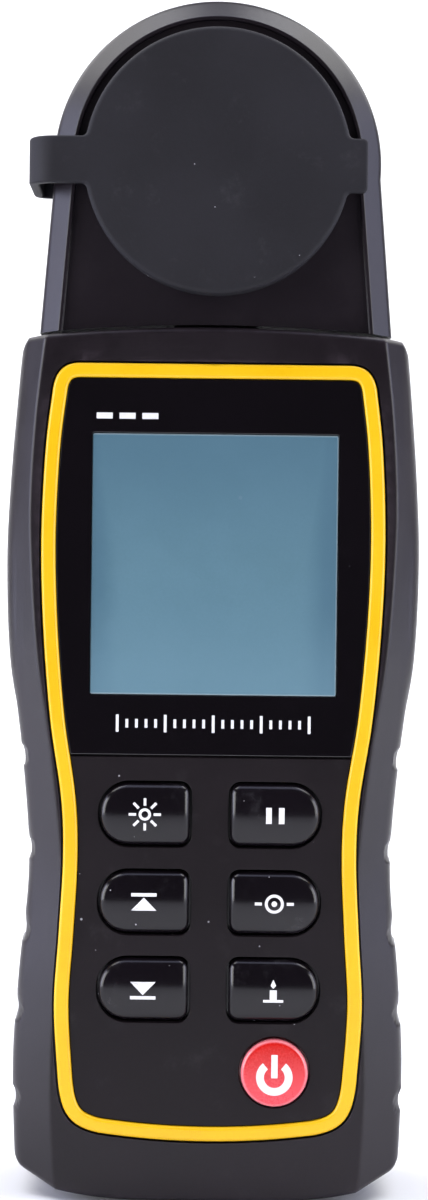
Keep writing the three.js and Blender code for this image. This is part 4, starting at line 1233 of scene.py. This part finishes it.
# ------------------------------------------------------------------ sensor cap and its strap
# The cap, its pull tab and its strap are one soft black rubber moulding with a matt, dusty skin. The
# strap bends round the head's side, and its barbed root is trapped between the head's two halves.
cap_low = box_mm("sensor_cap")[0]
strap_low, strap_high = box_mm("cap_strap")
CAP_RADIUS, CAP_FRONT, RUBBER = 19.9, cap_low[1], 1.5
CAP_BACK = HEAD_FACE - GAP
STRAP_Z, STRAP_HALF = (strap_low[2] + strap_high[2]) / 2 - SENSOR_Z, 3.5
TAB_Z, TAB_HALF, TAB_END = -0.6, 4.0, box_mm("sensor_cap")[1][0]
STUB_X = -22.0
DISC_EDGE, ARM_EDGE = 0.8, 0.42
FILLET = 0.9


def fillet_arc(radius, height, sign_x, sign_z, fillet, steps=7):
    """Concave round between the disc and an arm's edge, ordered from the arm towards the disc."""
    x = math.sqrt((radius + fillet) ** 2 - (height + fillet) ** 2)
    toward = math.atan2(-(height + fillet), -x)
    turn = np.linspace(-math.pi / 2, toward, steps)
    points = np.column_stack([x + fillet * np.cos(turn), height + fillet + fillet * np.sin(turn)])
    return points * (sign_x, sign_z)


def cap_ring(turned, outward=0.0):
    """One closed ring of the cap's edge, from its side (0) over the round to its front face (90)."""
    disc = DISC_EDGE * (1 - math.cos(turned)) - outward
    arm = ARM_EDGE * (1 - math.cos(turned)) - outward
    radius = CAP_RADIUS - disc
    parts, weights = [], []

    def take(points, weight):
        parts.append(np.asarray(points, float))
        weights.append(np.broadcast_to(weight, len(parts[-1])))

    ramp = np.linspace(0, 1, 7)
    corners = {}
    for side, middle, half in ((-1, STRAP_Z, STRAP_HALF), (1, TAB_Z, TAB_HALF)):
        for up in (1, -1):
            height = up * middle + half - arm
            corners[side, up] = (fillet_arc(radius, height, side, up, FILLET + arm), up * height)
    top_left, level = corners[-1, 1]
    take([(STUB_X + (top_left[0, 0] - STUB_X) * k / 3, level) for k in range(3)], 0)
    take(top_left, ramp)
    top_right = corners[1, 1][0]
    start, stop = math.atan2(*top_left[-1][::-1]), math.atan2(*top_right[-1][::-1])
    turn = np.linspace(start, stop, 74)[1:-1]
    take(np.column_stack([radius * np.cos(turn), radius * np.sin(turn)]), 1)
    take(top_right[::-1], ramp[::-1])
    end, high, low = TAB_END - arm, corners[1, 1][1], corners[1, -1][1]
    ease = 0.7
    for z, first, last in ((high, 90, 0), (low, 0, -90)):
        turn = np.radians(np.linspace(first, last, 6))
        take(np.column_stack([end - ease + ease * np.cos(turn),
                              z - math.copysign(ease, z - TAB_Z) + ease * np.sin(turn)]), 0)
    bottom_right = corners[1, -1][0]
    take(bottom_right, ramp)
    bottom_left = corners[-1, -1][0]
    start, stop = math.atan2(*bottom_right[-1][::-1]), math.atan2(*bottom_left[-1][::-1]) - 0
    turn = np.linspace(start, -2 * math.pi + stop if stop > 0 else stop, 76)[1:-1]
    take(np.column_stack([radius * np.cos(turn), radius * np.sin(turn)]), 1)
    take(bottom_left[::-1], ramp[::-1])
    level = corners[-1, -1][1]
    take([(bottom_left[0, 0] + (STUB_X - bottom_left[0, 0]) * k / 3, level) for k in range(1, 4)], 0)
    flat, weight = np.vstack(parts), np.concatenate(weights)
    rise = (ARM_EDGE + (DISC_EDGE - ARM_EDGE) * weight) * (1 - math.sin(turned))
    return np.column_stack([flat[:, 0], CAP_FRONT + rise, SENSOR_Z + flat[:, 1]])


def strap_path():
    """Middle line of the strap in X and Y, with its direction, from the cap to its root."""
    middle, side = CAP_FRONT + RUBBER / 2, strap_low[0] + RUBBER / 2
    bend, root = 3.3, 1.9
    turns = [(STUB_X, middle, -1.0, 0.0), (side + bend + 0.8, middle, -1.0, 0.0)]
    for a in np.linspace(0, math.pi / 2, 15):
        turns.append((side + bend - bend * math.sin(a), middle + bend - bend * math.cos(a),
                      -math.cos(a), math.sin(a)))
    for y in np.linspace(middle + bend, PARTING - root, 8)[1:-1]:
        turns.append((side, y, 0.0, 1.0))
    for a in np.linspace(0, math.pi / 2, 11):
        turns.append((side + root - root * math.cos(a), PARTING - root + root * math.sin(a),
                      math.sin(a), math.cos(a)))
    return turns + [(-21.0, PARTING, 1.0, 0.0)]


def cap_mesh():
    back = [cap_ring(0.0, -0.25), cap_ring(0.0)]
    back[0][:, 1], back[1][:, 1] = CAP_FRONT + RUBBER, CAP_FRONT + RUBBER - 0.25
    rings = back + [cap_ring(a) for a in np.linspace(0, math.pi / 2, 7)]
    count = len(rings[0])
    points = [tuple(p) for ring in rings for p in ring]
    ends = [tuple(range(count)), tuple(range(len(points) - count, len(points)))]
    faces = grid_faces(len(rings), count) + ends
    section = [ring[0] for ring in rings] + [ring[-1] for ring in rings[::-1]]
    middle = CAP_FRONT + RUBBER / 2
    first = len(points)
    stations = strap_path()
    for x, y, dx, dy in stations:
        for _, py, pz in section:
            lift = py - middle
            points.append((x + dy * lift, y - dx * lift, pz))
    n = len(section)
    for s in range(len(stations) - 1):
        for i in range(n):
            j = (i + 1) % n
            a = first + s * n
            faces.append((a + i, a + j, a + n + j, a + n + i))
    faces.append(tuple(first + (len(stations) - 1) * n + i for i in range(n)))
    return new_object("cap_with_strap", points, faces)


rubber_cap = cap_mesh()
skirt_profile = rounded([(CAP_RADIUS - 1.5, CAP_FRONT + 1), (CAP_RADIUS - 1.5, CAP_BACK),
                         (CAP_RADIUS - 0.02, CAP_BACK), (CAP_RADIUS - 0.02, CAP_FRONT + 1)],
                        (0.3, 0.3), (2, 2, 2), arc=4)
skirt = lathe("skirt", skirt_profile, "y", 0, SENSOR_Z, 128, closed=True)
bar = bevelled(prism("barb", rectangle(-21.4, -20.2, strap_low[2], strap_high[2], 0.3), PARTING - 2.4,
                     PARTING + 2.4), 0.25, 3)
rubber_cap = merged("cap_with_strap", [rubber_cap, skirt, bar])
cap_rubber = finish_material("cap_rubber", (30, 29, 33), (37, 36, 41), 0.66, grain=0.22, depth=0.014,
                             dust=0.8, dust_size=3.3, patch=14.0, Specular_IOR_Level=0.22)
dress(rubber_cap, cap_rubber, None, ["sensor_cap", "cap_strap"], smooth=45)
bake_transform(rubber_cap)

fit_screws("head_screws", head_screw_nodes, 2.1, 1.5, 1.1, "head")
filter_glass = finish_material("filter_glass", (84, 126, 96), (96, 138, 108), 0.08, grain=0.5,
                               depth=0.0004, patch=5.0, Coat_Weight=0.5)
seal_foam = finish_material("seal_foam", (26, 26, 28), (38, 38, 41), 0.85, grain=0.35, depth=0.05)
carried(filter_glass, "colour_filter")
carried(seal_foam, "light_seal")
lead_sleeve = finish_material("lead_sleeve", (188, 188, 190), (204, 204, 206), 0.5, grain=0.2, depth=0.003)
carried(lead_sleeve, "sensor_lead")


# ------------------------------------------------------------------ floor, light and camera
# A pale paper sweep under and behind the meter, seen from its front side only. Soft boxes stand at
# both sides and before it, the left ones stronger, with a weak overhead panel and two lamps on the
# paper. The camera is level with the meter's middle.
def sweep_backdrop():
    profile = [(-0.6, 0.0), (0.55, 0.0)]
    turn = np.linspace(0, math.pi / 2, 12)
    profile += [(0.55 + 0.5 * math.sin(a), 0.5 - 0.5 * math.cos(a)) for a in turn[1:]] + [(1.05, 2.2)]
    points = [(x / MM, y / MM, z / MM) for x in (-1.2, 1.2) for y, z in profile]
    return new_object("backdrop", points, grid_faces(2, len(profile)))


backdrop = sweep_backdrop()
backdrop.data.flip_normals()
paper = bpy.data.materials.new("white_paper")
paper.use_nodes = True
surface = paper.node_tree.nodes["Principled BSDF"]
tone = use_group(paper.node_tree, uneven_tone, Patch_mm=260.0)
paper.node_tree.links.new(mix(paper.node_tree, tone, (0.92, 0.92, 0.92, 1), (0.95, 0.95, 0.95, 1)),
                          surface.inputs["Base Color"])
surface.inputs["Roughness"].default_value = 0.9
surface.inputs["Emission Color"].default_value = (1, 1, 1, 1)
surface.inputs["Emission Strength"].default_value = 0.05
behind = paper.node_tree.nodes.new("ShaderNodeNewGeometry").outputs["Backfacing"]
paper.node_tree.links.new(arithmetic(paper.node_tree, "SUBTRACT", 1.0, behind), surface.inputs["Alpha"])
backdrop.data.materials.append(paper)
for face in backdrop.data.polygons:
    face.use_smooth = True


def softbox(name, place, width, height, power, tint=(1.0, 1.0, 1.0), aim=(0.0, 0.0, 0.09)):
    data = bpy.data.lights.new(name, "AREA")
    data.shape, data.size, data.size_y, data.energy, data.color = "RECTANGLE", width, height, power, tint
    lamp = bpy.data.objects.new(name, data)
    lamp.location = place
    lamp.rotation_euler = (Vector(aim) - Vector(place)).to_track_quat("-Z", "Y").to_euler()
    bpy.context.scene.collection.objects.link(lamp)
    return lamp


COOL = (0.70, 0.73, 1.0)
softbox("left_strip", (-0.70, -0.06, 0.20), 0.5, 0.7, 5.0, COOL)
softbox("right_strip", (0.70, -0.06, 0.24), 0.5, 0.7, 3.4, COOL)
front_lamps = [softbox("front_left", (-0.80, -0.46, 0.24), 0.5, 0.8, 7.3),
               softbox("front_right", (0.80, -0.46, 0.24), 0.5, 0.8, 6.2)]
softbox("top_box", (0.0, -0.10, 0.85), 0.7, 0.5, 1.9, COOL)
softbox("paper_left", (-0.6, 0.35, 0.9), 1.2, 0.6, 10.0, aim=(-0.2, 0.7, 0.0))
softbox("paper_right", (0.6, 0.35, 0.9), 1.2, 0.6, 10.0, aim=(0.2, 0.7, 0.0))

# The front boxes are flagged off the paper, so the floor before the meter stays dim in its gloss.
off_paper = bpy.data.collections.new("off_paper")
off_paper.objects.link(backdrop)
off_paper.collection_objects[0].light_linking.link_state = "EXCLUDE"
for lamp in front_lamps:
    lamp.light_linking.receiver_collection = off_paper

# The room is dim for the gloss to stay deep, and white where the camera looks past the paper.
world = bpy.data.worlds.new("studio")
bpy.context.scene.world = world
world.use_nodes = True
room = world.node_tree.nodes["Background"]
seen = world.node_tree.nodes.new("ShaderNodeLightPath").outputs["Is Camera Ray"]
world.node_tree.links.new(remap(world.node_tree, seen, 0, 1, 0.04, 1.0, smooth=False),
                          room.inputs["Strength"])
room.inputs["Color"].default_value = (0.96, 0.97, 1.0, 1)
bpy.context.scene.view_settings.view_transform = "Standard"
bpy.context.scene.view_settings.look = "None"

camera_data = bpy.data.cameras.new("camera")
camera_data.sensor_fit, camera_data.sensor_width, camera_data.lens = "AUTO", 36.0, 81.75
camera_data.clip_start, camera_data.clip_end = 0.02, 20.0
camera = bpy.data.objects.new("camera", camera_data)
camera.location = (0.0002, -0.4200, 0.0897)
camera.rotation_euler = (math.radians(90), math.radians(-0.68), 0)
bpy.context.scene.collection.objects.link(camera)
bpy.context.scene.camera = camera
